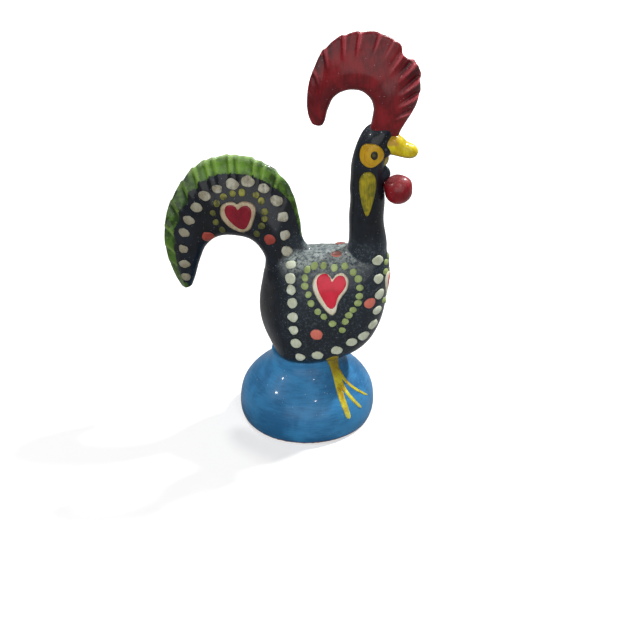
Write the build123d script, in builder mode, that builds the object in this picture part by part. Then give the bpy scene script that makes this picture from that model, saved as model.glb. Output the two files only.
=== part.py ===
from build123d import *
from math import pi, sin
import os

# A painted clay rooster on a round pedestal. Sizes in millimetres; the beak points along +X, +Z is up,
# and the origin is at the centre of the ring that the pedestal stands on.

# Pedestal: a hollow thrown bun, open below
foot_diameter = 41.6
pedestal_height = 22.6
pedestal_neck_diameter = 21.4
pedestal_wall = 3.4
firing_hole_diameter = 6.0
firing_hole_depth = 12.0
# (flare from neck to foot, height) up the outside of the pedestal
pedestal_profile_shares = [
    (0.90, 0.0), (0.98, 0.10), (0.99, 0.25), (0.93, 0.40), (0.77, 0.54), (0.50, 0.67), (0.20, 0.79),
    (0.03, 0.90), (0.0, 1.0),
]
# (flare from neck to foot, height) up the inside of the hollow, before the wall's thickness comes off
hollow_profile_shares = [(0.90, 0.0), (0.92, 0.37), (0.02, 0.72)]

# Body: a bell-sided trunk that sits on the pedestal
body_height = 32.6
body_front_reach = 24.6
body_rear_reach = 14.4
body_width = 24.6
saddle_slope = 8.0
# (height, rear reach, front reach, width) of each level of the body
body_level_shares = [
    (0.0, 0.66, 0.455, 0.84), (0.03, 0.71, 0.56, 0.92), (0.09, 0.77, 0.71, 0.98), (0.18, 0.86, 0.82, 1.0),
    (0.31, 0.96, 0.91, 0.99), (0.46, 1.0, 0.96, 0.96), (0.60, 0.97, 0.98, 0.91), (0.73, 0.92, 1.0, 0.84),
    (0.83, 0.88, 1.0, 0.75), (0.91, 0.82, 0.99, 0.63), (0.965, 0.70, 0.96, 0.47), (1.0, 0.45, 0.90, 0.26),
]
# (length, width) round one flank, chest first
flank_shares = [
    (0.96, 0.28), (0.82, 0.58), (0.52, 0.83), (0.10, 0.97), (-0.30, 1.0), (-0.60, 0.88), (-0.84, 0.54),
    (-0.96, 0.25),
]

# Neck and head: one rolled piece, from inside the body to the crown
neck_height = 39.4
neck_depth = 9.7
neck_width = 9.8
neck_setback = 11.9
# (height, rear, front, width) of each level: rear and front are measured in neck depths
neck_level_shares = [
    (-0.24, 0.12, 0.84, 0.70), (-0.08, 0.02, 1.02, 0.98), (0.04, -0.06, 1.13, 1.14),
    (0.11, -0.02, 1.12, 1.08), (0.20, 0.0, 1.05, 1.0), (0.34, 0.0, 1.01, 0.98), (0.53, -0.01, 0.99, 0.98),
    (0.66, 0.01, 0.99, 1.02),
    (0.77, 0.07, 1.05, 1.06), (0.86, 0.17, 1.16, 1.02), (0.935, 0.30, 1.22, 0.88), (0.98, 0.44, 1.20, 0.64),
    (1.0, 0.56, 1.10, 0.38),
]

# Tail: a curved slab that arches back from the saddle and hangs down behind
tail_length = 43.2
tail_height = 43.6
tail_setback = 43.0
tail_base_height = 39.5
tail_thickness = 8.4
tail_rim_thickness = 5.0
tail_slices = 15
tail_inner_edge_share = 0.82
# (along, up) the inner edge and the outer edge, root to tip
tail_inner_shares = [
    (0.79, 0.10), (0.715, 0.20), (0.712, 0.29), (0.668, 0.37), (0.61, 0.413), (0.53, 0.432), (0.44, 0.429),
    (0.36, 0.40), (0.295, 0.33), (0.253, 0.24), (0.222, 0.15), (0.200, 0.07), (0.178, 0.015),
]
tail_outer_shares = [
    (1.09, 0.32), (0.98, 0.43), (0.955, 0.58), (0.905, 0.77), (0.79, 0.92), (0.61, 0.995), (0.42, 0.99),
    (0.245, 0.91), (0.12, 0.755), (0.033, 0.58), (0.0, 0.40), (0.012, 0.25), (0.055, 0.10), (0.105, 0.005),
]
# (place along the tail, thickness)
tail_thickness_shares = [(0.0, 1.12), (0.15, 1.0), (0.5, 0.92), (0.8, 0.78), (0.93, 0.66), (1.0, 0.42)]

# Frill: the pinched strip round the outside of the tail
frill_depth = 5.8
frill_seat_share = 0.22
frill_thickness = 4.2
frill_root_share = 1.2
frill_rim_share = 0.7
frill_wave = 0.9
frill_folds = 15
sections_a_fold = 4
frill_start_share = 0.16
frill_end_share = 0.985
# (place along the frill, depth)
frill_depth_shares = [
    (0.0, 0.35), (0.12, 0.5), (0.22, 0.85), (0.40, 1.0), (0.62, 0.96), (0.82, 0.86), (1.0, 0.35),
]

# Comb: a big pinched crest, rooted on the crown and curling over behind the head
comb_length = 31.4
comb_height = 27.2
comb_setback = 0.3
comb_base_height = 92.9
comb_root_depth = 3.0
comb_thickness = 6.4
comb_rim_thickness = 3.2
comb_inner_edge_share = 0.85
comb_root_share = 0.7
comb_tip_share = 0.55
comb_tip_round_shares = [0.95, 0.82, 0.5]
comb_wave = 0.9
# (along, up) the inner edge and (along, up) the outer edge, crown to tip
comb_station_shares = [
    (0.545, 0.0, 0.835, 0.0), (0.565, 0.06, 0.875, 0.10), (0.578, 0.12, 0.920, 0.19),
    (0.588, 0.17, 0.955, 0.27),
    (0.592, 0.215, 0.983, 0.36), (0.590, 0.255, 0.998, 0.45), (0.580, 0.295, 0.993, 0.56),
    (0.562, 0.33, 0.970, 0.68), (0.538, 0.36, 0.915, 0.745), (0.510, 0.385, 0.850, 0.805),
    (0.480, 0.40, 0.790, 0.905), (0.448, 0.407, 0.695, 0.970), (0.416, 0.407, 0.590, 1.0),
    (0.383, 0.403, 0.485, 0.998), (0.350, 0.393, 0.390, 0.980), (0.318, 0.378, 0.300, 0.940),
    (0.288, 0.357, 0.218, 0.880), (0.262, 0.332, 0.148, 0.80), (0.240, 0.302, 0.092, 0.70),
    (0.222, 0.267, 0.050, 0.58), (0.206, 0.225, 0.018, 0.455), (0.192, 0.175, 0.003, 0.33),
    (0.182, 0.125, 0.0, 0.215), (0.168, 0.07, 0.012, 0.11), (0.147, 0.02, 0.045, 0.025),
]

# Beaks and wattle
beak_length = 9.2
beak_root_diameter = 6.6
beak_droop = 12.0
beak_seat_depth = 2.4
# (along, radius) of the upper beak
beak_profile_shares = [(0.0, 1.0), (0.30, 0.95), (0.60, 0.76), (0.84, 0.58), (0.96, 0.36), (1.0, 0.0)]
beak_level_share = 0.875
head_front_share = 1.2
lower_beak_length = 2.9
lower_beak_diameter = 4.2
lower_beak_seat_depth = 3.4
lower_beak_level_share = 0.735
wattle_height = 9.3
wattle_diameter = 8.8
wattle_seat_depth = 0.8
# (reach forwards, radius) round the ball, from its front to the flat that is pressed on to the throat
wattle_profile_shares = [
    (1.0, 0.0), (0.98, 0.20), (0.92, 0.39), (0.71, 0.70), (0.38, 0.92), (0.0, 1.0), (-0.38, 0.92), (-0.71, 0.70),
    (-0.92, 0.39), (-0.97, 0.24),
]
wattle_level_share = 0.537

# Thick enamel: dots, hearts, eyes, ear lobes and legs
paint_thickness = 0.40
heart_fill_thickness = 0.30
white_dot_diameter = 2.9
green_dot_diameter = 1.95
coral_dot_diameter = 3.4
chest_dot_diameter = 1.7
dot_size_change_share = 0.06
dot_turn = 25.0
# Places on the body are (along from the rear reach to the front reach, up the body)
body_white_shares = [
    (0.278, 0.925), (0.288, 0.829), (0.301, 0.737), (0.312, 0.622), (0.322, 0.494), (0.330, 0.367),
    (0.346, 0.239), (0.375, 0.093), (0.512, 0.124), (0.652, 0.174), (0.760, 0.244), (0.843, 0.288),
    (0.905, 0.386), (0.933, 0.518), (0.945, 0.678), (0.935, 0.843), (0.922, 1.010),
]
# Width of each white dot of the body, tail end first; those on the chest are seen aslant
body_white_width_shares = [
    0.9, 0.95, 1.0, 1.02, 1.04, 1.03, 1.02, 1.05, 1.08, 1.05, 0.98, 0.90, 0.78, 0.70, 0.68, 0.78, 0.84,
]
body_green_shares = [
    (0.414, 0.921), (0.462, 0.952), (0.533, 0.960), (0.616, 0.952), (0.688, 0.970), (0.757, 0.923),
    (0.795, 0.867), (0.809, 0.787), (0.808, 0.706), (0.799, 0.642), (0.765, 0.581), (0.736, 0.530),
    (0.712, 0.469), (0.692, 0.384), (0.621, 0.452), (0.556, 0.519), (0.510, 0.564), (0.458, 0.639),
    (0.433, 0.714), (0.404, 0.789), (0.402, 0.856),
]
body_coral_shares = [(0.880, 0.622), (0.502, 0.343)]
saddle_coral_share = (0.612, 1.018)
saddle_squash_share = 0.5
# Places on the tail are (along from the tip, up)
tail_white_shares = [
    (0.158, 0.110), (0.156, 0.215), (0.156, 0.330), (0.166, 0.450), (0.203, 0.545), (0.258, 0.640),
    (0.317, 0.725), (0.409, 0.780), (0.512, 0.819), (0.618, 0.843), (0.725, 0.802), (0.813, 0.721),
    (0.856, 0.612), (0.877, 0.486), (0.888, 0.373),
]
# Width of each white dot of the tail, tip first
tail_white_width_shares = [
    1.05, 1.1, 1.05, 1.34, 1.36, 1.4, 1.16, 1.14, 1.36, 1.36, 1.14, 1.08, 1.04, 1.08, 1.04,
]
tail_green_shares = [
    (0.438, 0.496), (0.398, 0.549), (0.381, 0.617), (0.408, 0.688), (0.454, 0.735), (0.516, 0.759),
    (0.578, 0.771), (0.675, 0.761), (0.712, 0.721), (0.734, 0.653), (0.734, 0.603), (0.712, 0.552),
    (0.676, 0.489),
]
tail_coral_shares = [(0.336, 0.433), (0.767, 0.458)]
# Places on the chest are (across, up the body)
chest_dot_shares = [(0.0, 1.0), (0.16, 0.965), (0.22, 0.885), (0.18, 0.585), (0.0, 0.545)]

# Hearts: (across, up) in shares of each heart's own width and height
heart_width = 10.8
heart_height = 12.3
heart_fill_width = 8.2
heart_fill_height = 9.1
heart_place_share = (0.595, 0.722)
heart_fill_place_share = (0.596, 0.738)
heart_left_shares = [
    (0.04, 0.40), (-0.06, 0.47), (-0.22, 0.50), (-0.42, 0.44), (-0.50, 0.28), (-0.46, 0.10), (-0.33, -0.10),
    (-0.12, -0.31), (0.03, -0.45), (0.13, -0.50),
]
heart_right_shares = [
    (0.04, 0.40), (0.13, 0.47), (0.29, 0.50), (0.44, 0.43), (0.50, 0.27), (0.46, 0.11), (0.33, -0.07),
    (0.24, -0.22), (0.21, -0.40), (0.13, -0.50),
]
heart_fill_left_shares = [
    (0.03, 0.28), (-0.05, 0.41), (-0.19, 0.50), (-0.39, 0.48), (-0.50, 0.35), (-0.47, 0.18), (-0.37, 0.0),
    (-0.20, -0.22), (-0.06, -0.42), (0.08, -0.50),
]
heart_fill_right_shares = [
    (0.03, 0.28), (0.12, 0.41), (0.25, 0.49), (0.39, 0.48), (0.49, 0.37), (0.49, 0.21), (0.39, 0.04),
    (0.25, -0.13), (0.20, -0.32), (0.17, -0.45), (0.08, -0.50),
]
tail_heart_width = 10.7
tail_heart_height = 10.0
tail_heart_fill_width = 7.2
tail_heart_fill_height = 7.3
tail_heart_place_share = (0.552, 0.600)
tail_heart_fill_place_share = (0.551, 0.596)
tail_heart_left_shares = [
    (-0.01, 0.40), (-0.12, 0.45), (-0.30, 0.42), (-0.45, 0.31), (-0.50, 0.12), (-0.46, -0.08),
    (-0.35, -0.26), (-0.17, -0.41), (0.05, -0.50),
]
tail_heart_right_shares = [
    (-0.01, 0.40), (0.09, 0.47), (0.25, 0.50), (0.42, 0.44), (0.50, 0.29), (0.48, 0.10), (0.42, -0.14),
    (0.34, -0.34), (0.20, -0.46), (0.05, -0.50),
]
tail_fill_left_shares = [
    (-0.01, 0.33), (-0.09, 0.44), (-0.23, 0.50), (-0.40, 0.47), (-0.50, 0.33), (-0.48, 0.10),
    (-0.36, -0.14), (-0.18, -0.34), (0.0, -0.46), (0.12, -0.50),
]
tail_fill_right_shares = [
    (-0.01, 0.33), (0.08, 0.43), (0.22, 0.50), (0.38, 0.49), (0.49, 0.35), (0.49, 0.12), (0.42, -0.14),
    (0.32, -0.35), (0.22, -0.46), (0.12, -0.50),
]
chest_heart_width = 6.0
chest_heart_height = 8.2
chest_heart_fill_width = 3.6
chest_heart_fill_height = 5.6
chest_heart_level_share = 0.742

# Face: places are (along in neck depths, up the neck)
eye_width = 6.5
eye_height = 7.3
eye_place_share = (0.67, 0.815)
eye_ring_diameter = 3.8
pupil_diameter = 2.2
pupil_place_share = (0.735, 0.812)
eye_thickness = 0.5
eye_ring_thickness = 0.3
lobe_width = 4.4
lobe_height = 13.4
lobe_place_share = (0.572, 0.523)
lobe_shares = [
    (0.0, 0.50), (-0.34, 0.40), (-0.50, 0.15), (-0.38, -0.15), (-0.17, -0.38), (0.0, -0.50), (0.20, -0.35),
    (0.42, -0.10), (0.50, 0.17), (0.34, 0.41),
]

# Legs: brush strokes seen square on from outside, (across, up) in shares of the leg's spread and height
leg_turn = 30.0
leg_tilt = 33.0
leg_spread = 11.0
leg_height = 19.0
leg_thickness = 0.3
leg_top_width = 3.2
leg_ankle_width = 2.5
thick_toe_width = 1.7
thin_toe_width = 1.0
leg_top_share = (-0.27, 0.70)
ankle_share = (-0.06, 0.37)
toe_end_shares = [(-0.34, -0.27), (0.19, -0.22), (0.60, -0.13)]

# (along, thickness, lean) of half a slab's section, from its inner edge to its outer edge
slab_shares = [(0.0, 0.0, 0.0), (0.12, 0.17, 0.0), (0.45, 0.20, 0.15), (0.86, 0.14, 0.85), (1.0, 0.0, 1.0)]

overrun = 5.0


def ring(points, pattern):
    """Closed smooth line through points, paced like the pattern, so that all its sections match."""
    ends = pattern[1:] + pattern[:1]
    steps = [(Vector(*end) - Vector(*start)).length for start, end in zip(pattern, ends)]
    places = [sum(steps[:index]) / sum(steps) for index in range(len(steps) + 1)]
    add(Edge.make_spline([Vector(*point) for point in points], periodic=True, parameters=places))


def even_sided(form):
    """The right half of a form with its mirror image, so that both sides match exactly."""
    with BuildPart() as whole:
        add(form)
        split(bisect_by=Plane.XZ, keep=Keep.TOP)
        mirror(about=Plane.XZ)
    return whole.part


def both_flanks(shares):
    return [(1, 0), *shares, (-1, 0), *[(u, -v) for u, v in reversed(shares)]]


def level_face(plane, rear, front, half_width):
    """Closed section of the trunk at one level, on a plane whose X runs from rear to front."""
    middle = (front + rear) / 2
    half_length = (front - rear) / 2
    outline = both_flanks(flank_shares)
    with BuildSketch(plane) as level:
        with BuildLine():
            ring([(middle + half_length * u, half_width * v) for u, v in outline], outline)
        make_face()
    return level.sketch


def body_form(grow=0.0):
    """The whole trunk, its skin moved outwards by grow."""
    faces = []
    for height, rear, front, width in body_level_shares:
        lift = pedestal_height + body_height * height + grow * height
        plane = Plane(origin=(0, 0, lift)).rotated((0, -saddle_slope * height, 0))
        faces.append(
            level_face(
                plane,
                -body_rear_reach * rear - grow,
                body_front_reach * front + grow,
                body_width / 2 * width + grow,
            )
        )
    with BuildPart() as form:
        loft(faces)
    return even_sided(form.part)


saddle_height = pedestal_height + body_height
neck_rear = body_front_reach - neck_setback


def neck_form(grow=0.0):
    """The neck and head, its skin moved outwards by grow."""
    faces = []
    for height, rear, front, width in neck_level_shares:
        lift = saddle_height + neck_height * height + grow * max(height, 0)
        with BuildSketch(Plane.XY.offset(lift)) as level:
            with Locations((neck_rear + neck_depth * (front + rear) / 2, 0)):
                Ellipse(neck_depth * (front - rear) / 2 + grow, neck_width / 2 * width + grow)
        faces.append(level.sketch)
    with BuildPart() as form:
        loft(faces)
    return even_sided(form.part)


def edge_line(shares, left, bottom, length, height):
    return Spline(*[(left + length * u, 0, bottom + height * v) for u, v in shares])


def share_at(table, place):
    """Value of a table of (place, value) at one place, read straight between its rows."""
    for (start, low), (end, high) in zip(table, table[1:]):
        if place <= end:
            return low + (high - low) * (place - start) / (end - start)
    return table[-1][1]


def slab_face(inner, outer, root_half, middle_half, rim_half, sway=0.0, grow=0.0):
    """Rounded section of an upright slab, from its inner edge to its outer edge."""
    span = outer - inner
    reach = span.length
    plane = Plane(origin=inner, x_dir=span, z_dir=span.cross(Vector(0, 1, 0)))
    halves = (0, root_half + grow, middle_half + grow, rim_half + grow, 0)
    ends = (-grow, 0, 0, 0, grow)
    up = [
        (reach * u + end, half + sway * lean) for (u, v, lean), half, end in zip(slab_shares, halves, ends)
    ]
    down = [
        (reach * u + end, -half + sway * lean) for (u, v, lean), half, end in zip(slab_shares, halves, ends)
    ]
    pattern = [(u, v) for u, v, lean in slab_shares]
    with BuildSketch(plane) as section:
        with BuildLine():
            ring(up + down[-2:0:-1], pattern + [(u, -v) for u, v in pattern[-2:0:-1]])
        make_face()
    return section.sketch


def bent_form(faces, run):
    """Solid through sections that turn a long way round, lofted run sections at a time."""
    with BuildPart() as form:
        for start in range(0, len(faces) - 1, run):
            loft(faces[start:start + run + 1])
    return form.part


tail_inner = edge_line(tail_inner_shares, -tail_setback, tail_base_height, tail_length, tail_height)
tail_outer = edge_line(tail_outer_shares, -tail_setback, tail_base_height, tail_length, tail_height)


def frill_depth_at(place):
    """Depth of the frill at a place along the tail; nothing before it starts."""
    along = (place - frill_start_share) / (frill_end_share - frill_start_share)
    if along <= 0:
        return 0
    return frill_depth * share_at(frill_depth_shares, along)


def tail_form(grow=0.0):
    faces = []
    for index in range(tail_slices):
        place = index / (tail_slices - 1)
        inner = tail_inner @ place
        outer = tail_outer @ place
        inward = (inner - outer).normalized()
        rim = outer + inward * frill_depth_at(place) * (1 - frill_seat_share)
        thick = share_at(tail_thickness_shares, place) / 2
        faces.append(
            slab_face(
                inner, rim, tail_thickness * thick * tail_inner_edge_share, tail_thickness * thick,
                tail_rim_thickness * thick, grow=grow,
            )
        )
    return even_sided(bent_form(faces, 5))


def frill_form():
    faces = []
    steps = sections_a_fold * frill_folds
    for index in range(steps + 1):
        along = index / steps
        place = frill_start_share + (frill_end_share - frill_start_share) * along
        inner = tail_inner @ place
        outer = tail_outer @ place
        depth = frill_depth * share_at(frill_depth_shares, along)
        inward = (inner - outer).normalized()
        body = min(1.0, depth / frill_thickness)
        sway = frill_wave * body * sin(2 * pi * index / sections_a_fold)
        half = frill_thickness / 2 * body
        root_half = half * frill_root_share
        rim_half = half * frill_rim_share
        faces.append(slab_face(outer + inward * depth, outer, root_half, half, rim_half, sway=sway))
    return bent_form(faces, 12)


def comb_point(u, v):
    return Vector(comb_setback + comb_length * u, 0, comb_base_height + comb_height * v)


def comb_form():
    faces = []
    half = comb_thickness / 2
    rim = comb_rim_thickness / 2
    first = comb_station_shares[0]
    middle = (comb_point(*first[:2]) + comb_point(*first[2:])) / 2
    sunk = middle + Vector(0, 0, -comb_root_depth)
    root = [(comb_point(*pair) - middle) * comb_root_share + sunk for pair in (first[:2], first[2:])]
    faces.append(slab_face(*root, half * comb_root_share, half * comb_root_share, half * comb_root_share))
    last = len(comb_station_shares) - 1
    for index, (inner_u, inner_v, outer_u, outer_v) in enumerate(comb_station_shares):
        taper = 1 - (1 - comb_tip_share) * index / last
        if last - index < len(comb_tip_round_shares):
            taper = taper * comb_tip_round_shares[index - last - 1]
        sway = comb_wave * (-1) ** index
        if index < 2 or last - index <= len(comb_tip_round_shares):
            sway = 0
        faces.append(
            slab_face(
                comb_point(inner_u, inner_v), comb_point(outer_u, outer_v),
                half * comb_inner_edge_share * taper, half * taper, rim * taper ** 0.5, sway=sway,
            )
        )
    return bent_form(faces, 4)


def pedestal_form(grow=0.0):
    """The outside of the pedestal, solid, its skin moved outwards by grow."""
    neck = pedestal_neck_diameter / 2
    flare = foot_diameter / 2 - neck
    outline = [
        (neck + flare * u + grow, pedestal_height * v + grow * (1 - v)) for u, v in pedestal_profile_shares
    ]
    outline[0] = (outline[0][0], 0)
    with BuildPart() as form:
        with BuildSketch(Plane.XZ):
            with BuildLine():
                Spline(*outline)
                Polyline(outline[-1], (0, pedestal_height), (0, 0), outline[0])
            make_face()
        revolve(axis=Axis.Z)
    return form.part


def side_spot(left, bottom, length, height, shares):
    return (left + length * shares[0], bottom + height * shares[1])


def body_spot(shares):
    return side_spot(
        -body_rear_reach, pedestal_height, body_rear_reach + body_front_reach, body_height, shares
    )


def tail_spot(shares):
    return side_spot(-tail_setback, tail_base_height, tail_length, tail_height, shares)


def neck_spot(shares):
    return side_spot(neck_rear, saddle_height, neck_depth, neck_height, shares)


def dots(spots, diameter, widths=None, height=1.0):
    """Uneven round dabs, a little different from one to the next."""
    with BuildSketch(Plane.XZ) as sketch:
        for index, spot in enumerate(spots):
            size = diameter / 2 * (1 + dot_size_change_share * sin(2.4 * index))
            wide = widths[index] if widths else 1
            with Locations(spot):
                Ellipse(size * wide, size * height, rotation=dot_turn * sin(1.7 * index) if wide == 1 else 0)
    return sketch.sketch


def heart(plane, centre, width, height, left_shares, right_shares):
    """Heart outline from its notch down each side to its point."""
    x, y = centre
    with BuildSketch(plane) as sketch:
        with BuildLine():
            for shares in (left_shares, right_shares):
                Spline(*[(x + width * u, y + height * v) for u, v in shares])
        make_face()
    return sketch.sketch


def dab(shape, over, under, direction):
    """Paint of the given outline, lying between the clay skin and the same skin moved outwards."""
    with BuildPart() as paint:
        add(shape)
        extrude(amount=body_front_reach + overrun, dir=direction)
        add(over, mode=Mode.INTERSECT)
        add(under, mode=Mode.SUBTRACT)
    return paint.part


def stroke(start, end, start_width, end_width):
    """Tapered brush stroke with round ends."""
    run = (Vector(*end) - Vector(*start)).normalized()
    side = Vector(-run.Y, run.X)
    corners = [
        Vector(*start) - side * (start_width / 2), Vector(*end) - side * (end_width / 2),
        Vector(*end) + side * (end_width / 2), Vector(*start) + side * (start_width / 2),
    ]
    with Locations(start):
        Circle(start_width / 2)
    with Locations(end):
        Circle(end_width / 2)
    Polygon(*corners, align=None)


def firing_hole():
    with BuildPart() as hole:
        with BuildSketch(Plane.XY.offset(pedestal_height / 2)):
            Circle(firing_hole_diameter / 2)
        extrude(amount=pedestal_height / 2 + firing_hole_depth)
    return hole.part


os.makedirs("parts", exist_ok=True)

body_shape = body_form()
neck_shape = neck_form()
tail_shape = tail_form()
comb_shape = comb_form()
pedestal_shape = pedestal_form()
bore = firing_hole()

# Pedestal, hollowed from below to an even wall, with the firing hole through its neck
neck_radius = pedestal_neck_diameter / 2
flare_reach = foot_diameter / 2 - neck_radius
hollow_outline = [
    (neck_radius + flare_reach * u - pedestal_wall, pedestal_height * v) for u, v in hollow_profile_shares
]
with BuildPart() as pedestal:
    add(pedestal_shape)
    with BuildSketch(Plane.XZ):
        Polygon((0, 0), *hollow_outline, (0, hollow_outline[-1][1]), align=None)
    revolve(axis=Axis.Z, mode=Mode.SUBTRACT)
    add(bore, mode=Mode.SUBTRACT)
pedestal.part.label = "pedestal"
export_step(pedestal.part, "parts/pedestal.step")

# Body
with BuildPart() as body:
    add(body_shape)
    add(bore, mode=Mode.SUBTRACT)
body.part.label = "body"
export_step(body.part, "parts/body.step")

# Neck and head, seated on the body
with BuildPart() as neck_and_head:
    add(neck_shape)
    add(body_shape, mode=Mode.SUBTRACT)
neck_and_head.part.label = "neck_and_head"
export_step(neck_and_head.part, "parts/neck_and_head.step")

# Tail slab, seated on the back of the body
with BuildPart() as tail_plate:
    add(tail_shape)
    add(body_shape, mode=Mode.SUBTRACT)
tail_plate.part.label = "tail_plate"
export_step(tail_plate.part, "parts/tail_plate.step")

# Pinched strip round the tail
with BuildPart() as tail_frill:
    add(frill_form())
    add(tail_shape, mode=Mode.SUBTRACT)
tail_frill.part.label = "tail_frill"
export_step(tail_frill.part, "parts/tail_frill.step")

# Comb, rooted on the crown
with BuildPart() as comb:
    add(comb_shape)
    add(neck_shape, mode=Mode.SUBTRACT)
comb.part.label = "comb"
export_step(comb.part, "parts/comb.step")

# Upper beak, pushed on below the comb
head_front = neck_rear + neck_depth * head_front_share
beak_root = Vector(head_front - beak_seat_depth, 0, saddle_height + neck_height * beak_level_share)
beak_plane = Plane(origin=beak_root, x_dir=(1, 0, 0), z_dir=(0, -1, 0)).rotated((0, beak_droop, 0))
with BuildPart() as upper_beak:
    with BuildSketch(beak_plane):
        with BuildLine():
            outline = [(beak_length * u, beak_root_diameter / 2 * v) for u, v in beak_profile_shares]
            Spline(*outline)
            Polyline(outline[-1], (0, 0), outline[0])
        make_face()
    revolve(axis=Axis(beak_plane.origin, beak_plane.x_dir))
    add(neck_shape, mode=Mode.SUBTRACT)
    add(comb_shape, mode=Mode.SUBTRACT)
upper_beak.part.label = "upper_beak"
export_step(upper_beak.part, "parts/upper_beak.step")

# Lower beak, a short stub under the upper one
lower_root = Vector(
    head_front - lower_beak_seat_depth, 0, saddle_height + neck_height * lower_beak_level_share
)
lower_plane = Plane(origin=lower_root, x_dir=(1, 0, 0), z_dir=(0, -1, 0))
with BuildPart() as lower_beak:
    with BuildSketch(lower_plane):
        with BuildLine():
            outline = [(lower_beak_length * u, lower_beak_diameter / 2 * v) for u, v in beak_profile_shares]
            Spline(*outline)
            Polyline(outline[-1], (0, 0), outline[0])
        make_face()
    revolve(axis=Axis(lower_plane.origin, lower_plane.x_dir))
    add(neck_shape, mode=Mode.SUBTRACT)
    add(upper_beak.part, mode=Mode.SUBTRACT)
lower_beak.part.label = "lower_beak"
export_step(lower_beak.part, "parts/lower_beak.step")

# Wattle, a ball pressed on to the throat
wattle_axis = neck_rear + neck_depth + wattle_diameter / 2 - wattle_seat_depth
wattle_middle = saddle_height + neck_height * wattle_level_share
wattle_plane = Plane(origin=(wattle_axis, 0, wattle_middle), x_dir=(1, 0, 0), z_dir=(0, -1, 0))
with BuildPart() as wattle:
    with BuildSketch(wattle_plane):
        with BuildLine():
            bulge = Spline(*[(wattle_diameter / 2 * u, wattle_height / 2 * v) for u, v in wattle_profile_shares])
            Polyline(bulge @ 1, ((bulge @ 1).X, 0), bulge @ 0)
        make_face()
    revolve(axis=Axis(wattle_plane.origin, wattle_plane.x_dir))
    add(neck_shape, mode=Mode.SUBTRACT)
wattle.part.label = "wattle"
export_step(wattle.part, "parts/wattle.step")

# Skins that the paint lies between
with BuildPart() as trunk_skin:
    add(body_shape)
    add(neck_shape)
with BuildPart() as painted_trunk_skin:
    add(body_form(paint_thickness))
    add(neck_form(paint_thickness))
tail_skin = tail_shape
painted_tail_skin = tail_form(paint_thickness)
fill_skin = body_form(heart_fill_thickness)
tail_fill_skin = tail_form(heart_fill_thickness)
eye_skin = neck_form(eye_thickness)
eye_ring_skin = neck_form(eye_thickness + eye_ring_thickness)

# Paint seen from the side, made for the right side and mirrored for the left
body_heart = heart(
    Plane.XZ, body_spot(heart_place_share), heart_width, heart_height, heart_left_shares, heart_right_shares
)
body_heart_inside = heart(
    Plane.XZ, body_spot(heart_fill_place_share), heart_fill_width, heart_fill_height,
    heart_fill_left_shares, heart_fill_right_shares,
)
tail_heart = heart(
    Plane.XZ, tail_spot(tail_heart_place_share), tail_heart_width, tail_heart_height,
    tail_heart_left_shares, tail_heart_right_shares,
)
tail_heart_inside = heart(
    Plane.XZ, tail_spot(tail_heart_fill_place_share), tail_heart_fill_width, tail_heart_fill_height,
    tail_fill_left_shares, tail_fill_right_shares,
)
coral_on_body = dots([body_spot(spot) for spot in body_coral_shares], coral_dot_diameter) + dots(
    [body_spot(saddle_coral_share)], coral_dot_diameter, height=saddle_squash_share
)
with BuildSketch(Plane.XZ) as eye_disc:
    with Locations(neck_spot(eye_place_share)):
        Ellipse(eye_width / 2, eye_height / 2)
with BuildSketch(Plane.XZ) as eye_ring:
    with Locations(neck_spot(pupil_place_share)):
        Circle(eye_ring_diameter / 2)
        Circle(pupil_diameter / 2, mode=Mode.SUBTRACT)
with BuildSketch(Plane.XZ) as pupil:
    with Locations(neck_spot(pupil_place_share)):
        Circle(pupil_diameter / 2)
lobe_middle = neck_spot(lobe_place_share)
with BuildSketch(Plane.XZ) as ear_lobe:
    with BuildLine():
        Spline(
            *[(lobe_middle[0] + lobe_width * u, lobe_middle[1] + lobe_height * v) for u, v in lobe_shares],
            periodic=True,
        )
    make_face()

side_paint = {
    "body_white_dots": (
        dots([body_spot(spot) for spot in body_white_shares], white_dot_diameter, body_white_width_shares),
        painted_trunk_skin.part, trunk_skin.part,
    ),
    "body_green_dots": (
        dots([body_spot(spot) for spot in body_green_shares], green_dot_diameter),
        painted_trunk_skin.part, trunk_skin.part,
    ),
    "body_coral_dots": (coral_on_body, painted_trunk_skin.part, trunk_skin.part),
    "body_heart_outline": (body_heart - body_heart_inside, painted_trunk_skin.part, trunk_skin.part),
    "body_heart": (body_heart_inside, fill_skin, body_shape),
    "tail_white_dots": (
        dots([tail_spot(spot) for spot in tail_white_shares], white_dot_diameter, tail_white_width_shares),
        painted_tail_skin, tail_skin,
    ),
    "tail_green_dots": (
        dots([tail_spot(spot) for spot in tail_green_shares], green_dot_diameter),
        painted_tail_skin, tail_skin,
    ),
    "tail_coral_dots": (
        dots([tail_spot(spot) for spot in tail_coral_shares], coral_dot_diameter),
        painted_tail_skin, tail_skin,
    ),
    "tail_heart_outline": (tail_heart - tail_heart_inside, painted_tail_skin, tail_skin),
    "tail_heart": (tail_heart_inside, tail_fill_skin, tail_skin),
    "eye_disc": (eye_disc.sketch, eye_skin, neck_shape),
    "eye_ring": (eye_ring.sketch, eye_ring_skin, eye_skin),
    "pupil": (pupil.sketch, eye_ring_skin, eye_skin),
    "ear_lobe": (ear_lobe.sketch, eye_skin, neck_shape),
}
side_dots = {}
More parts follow.
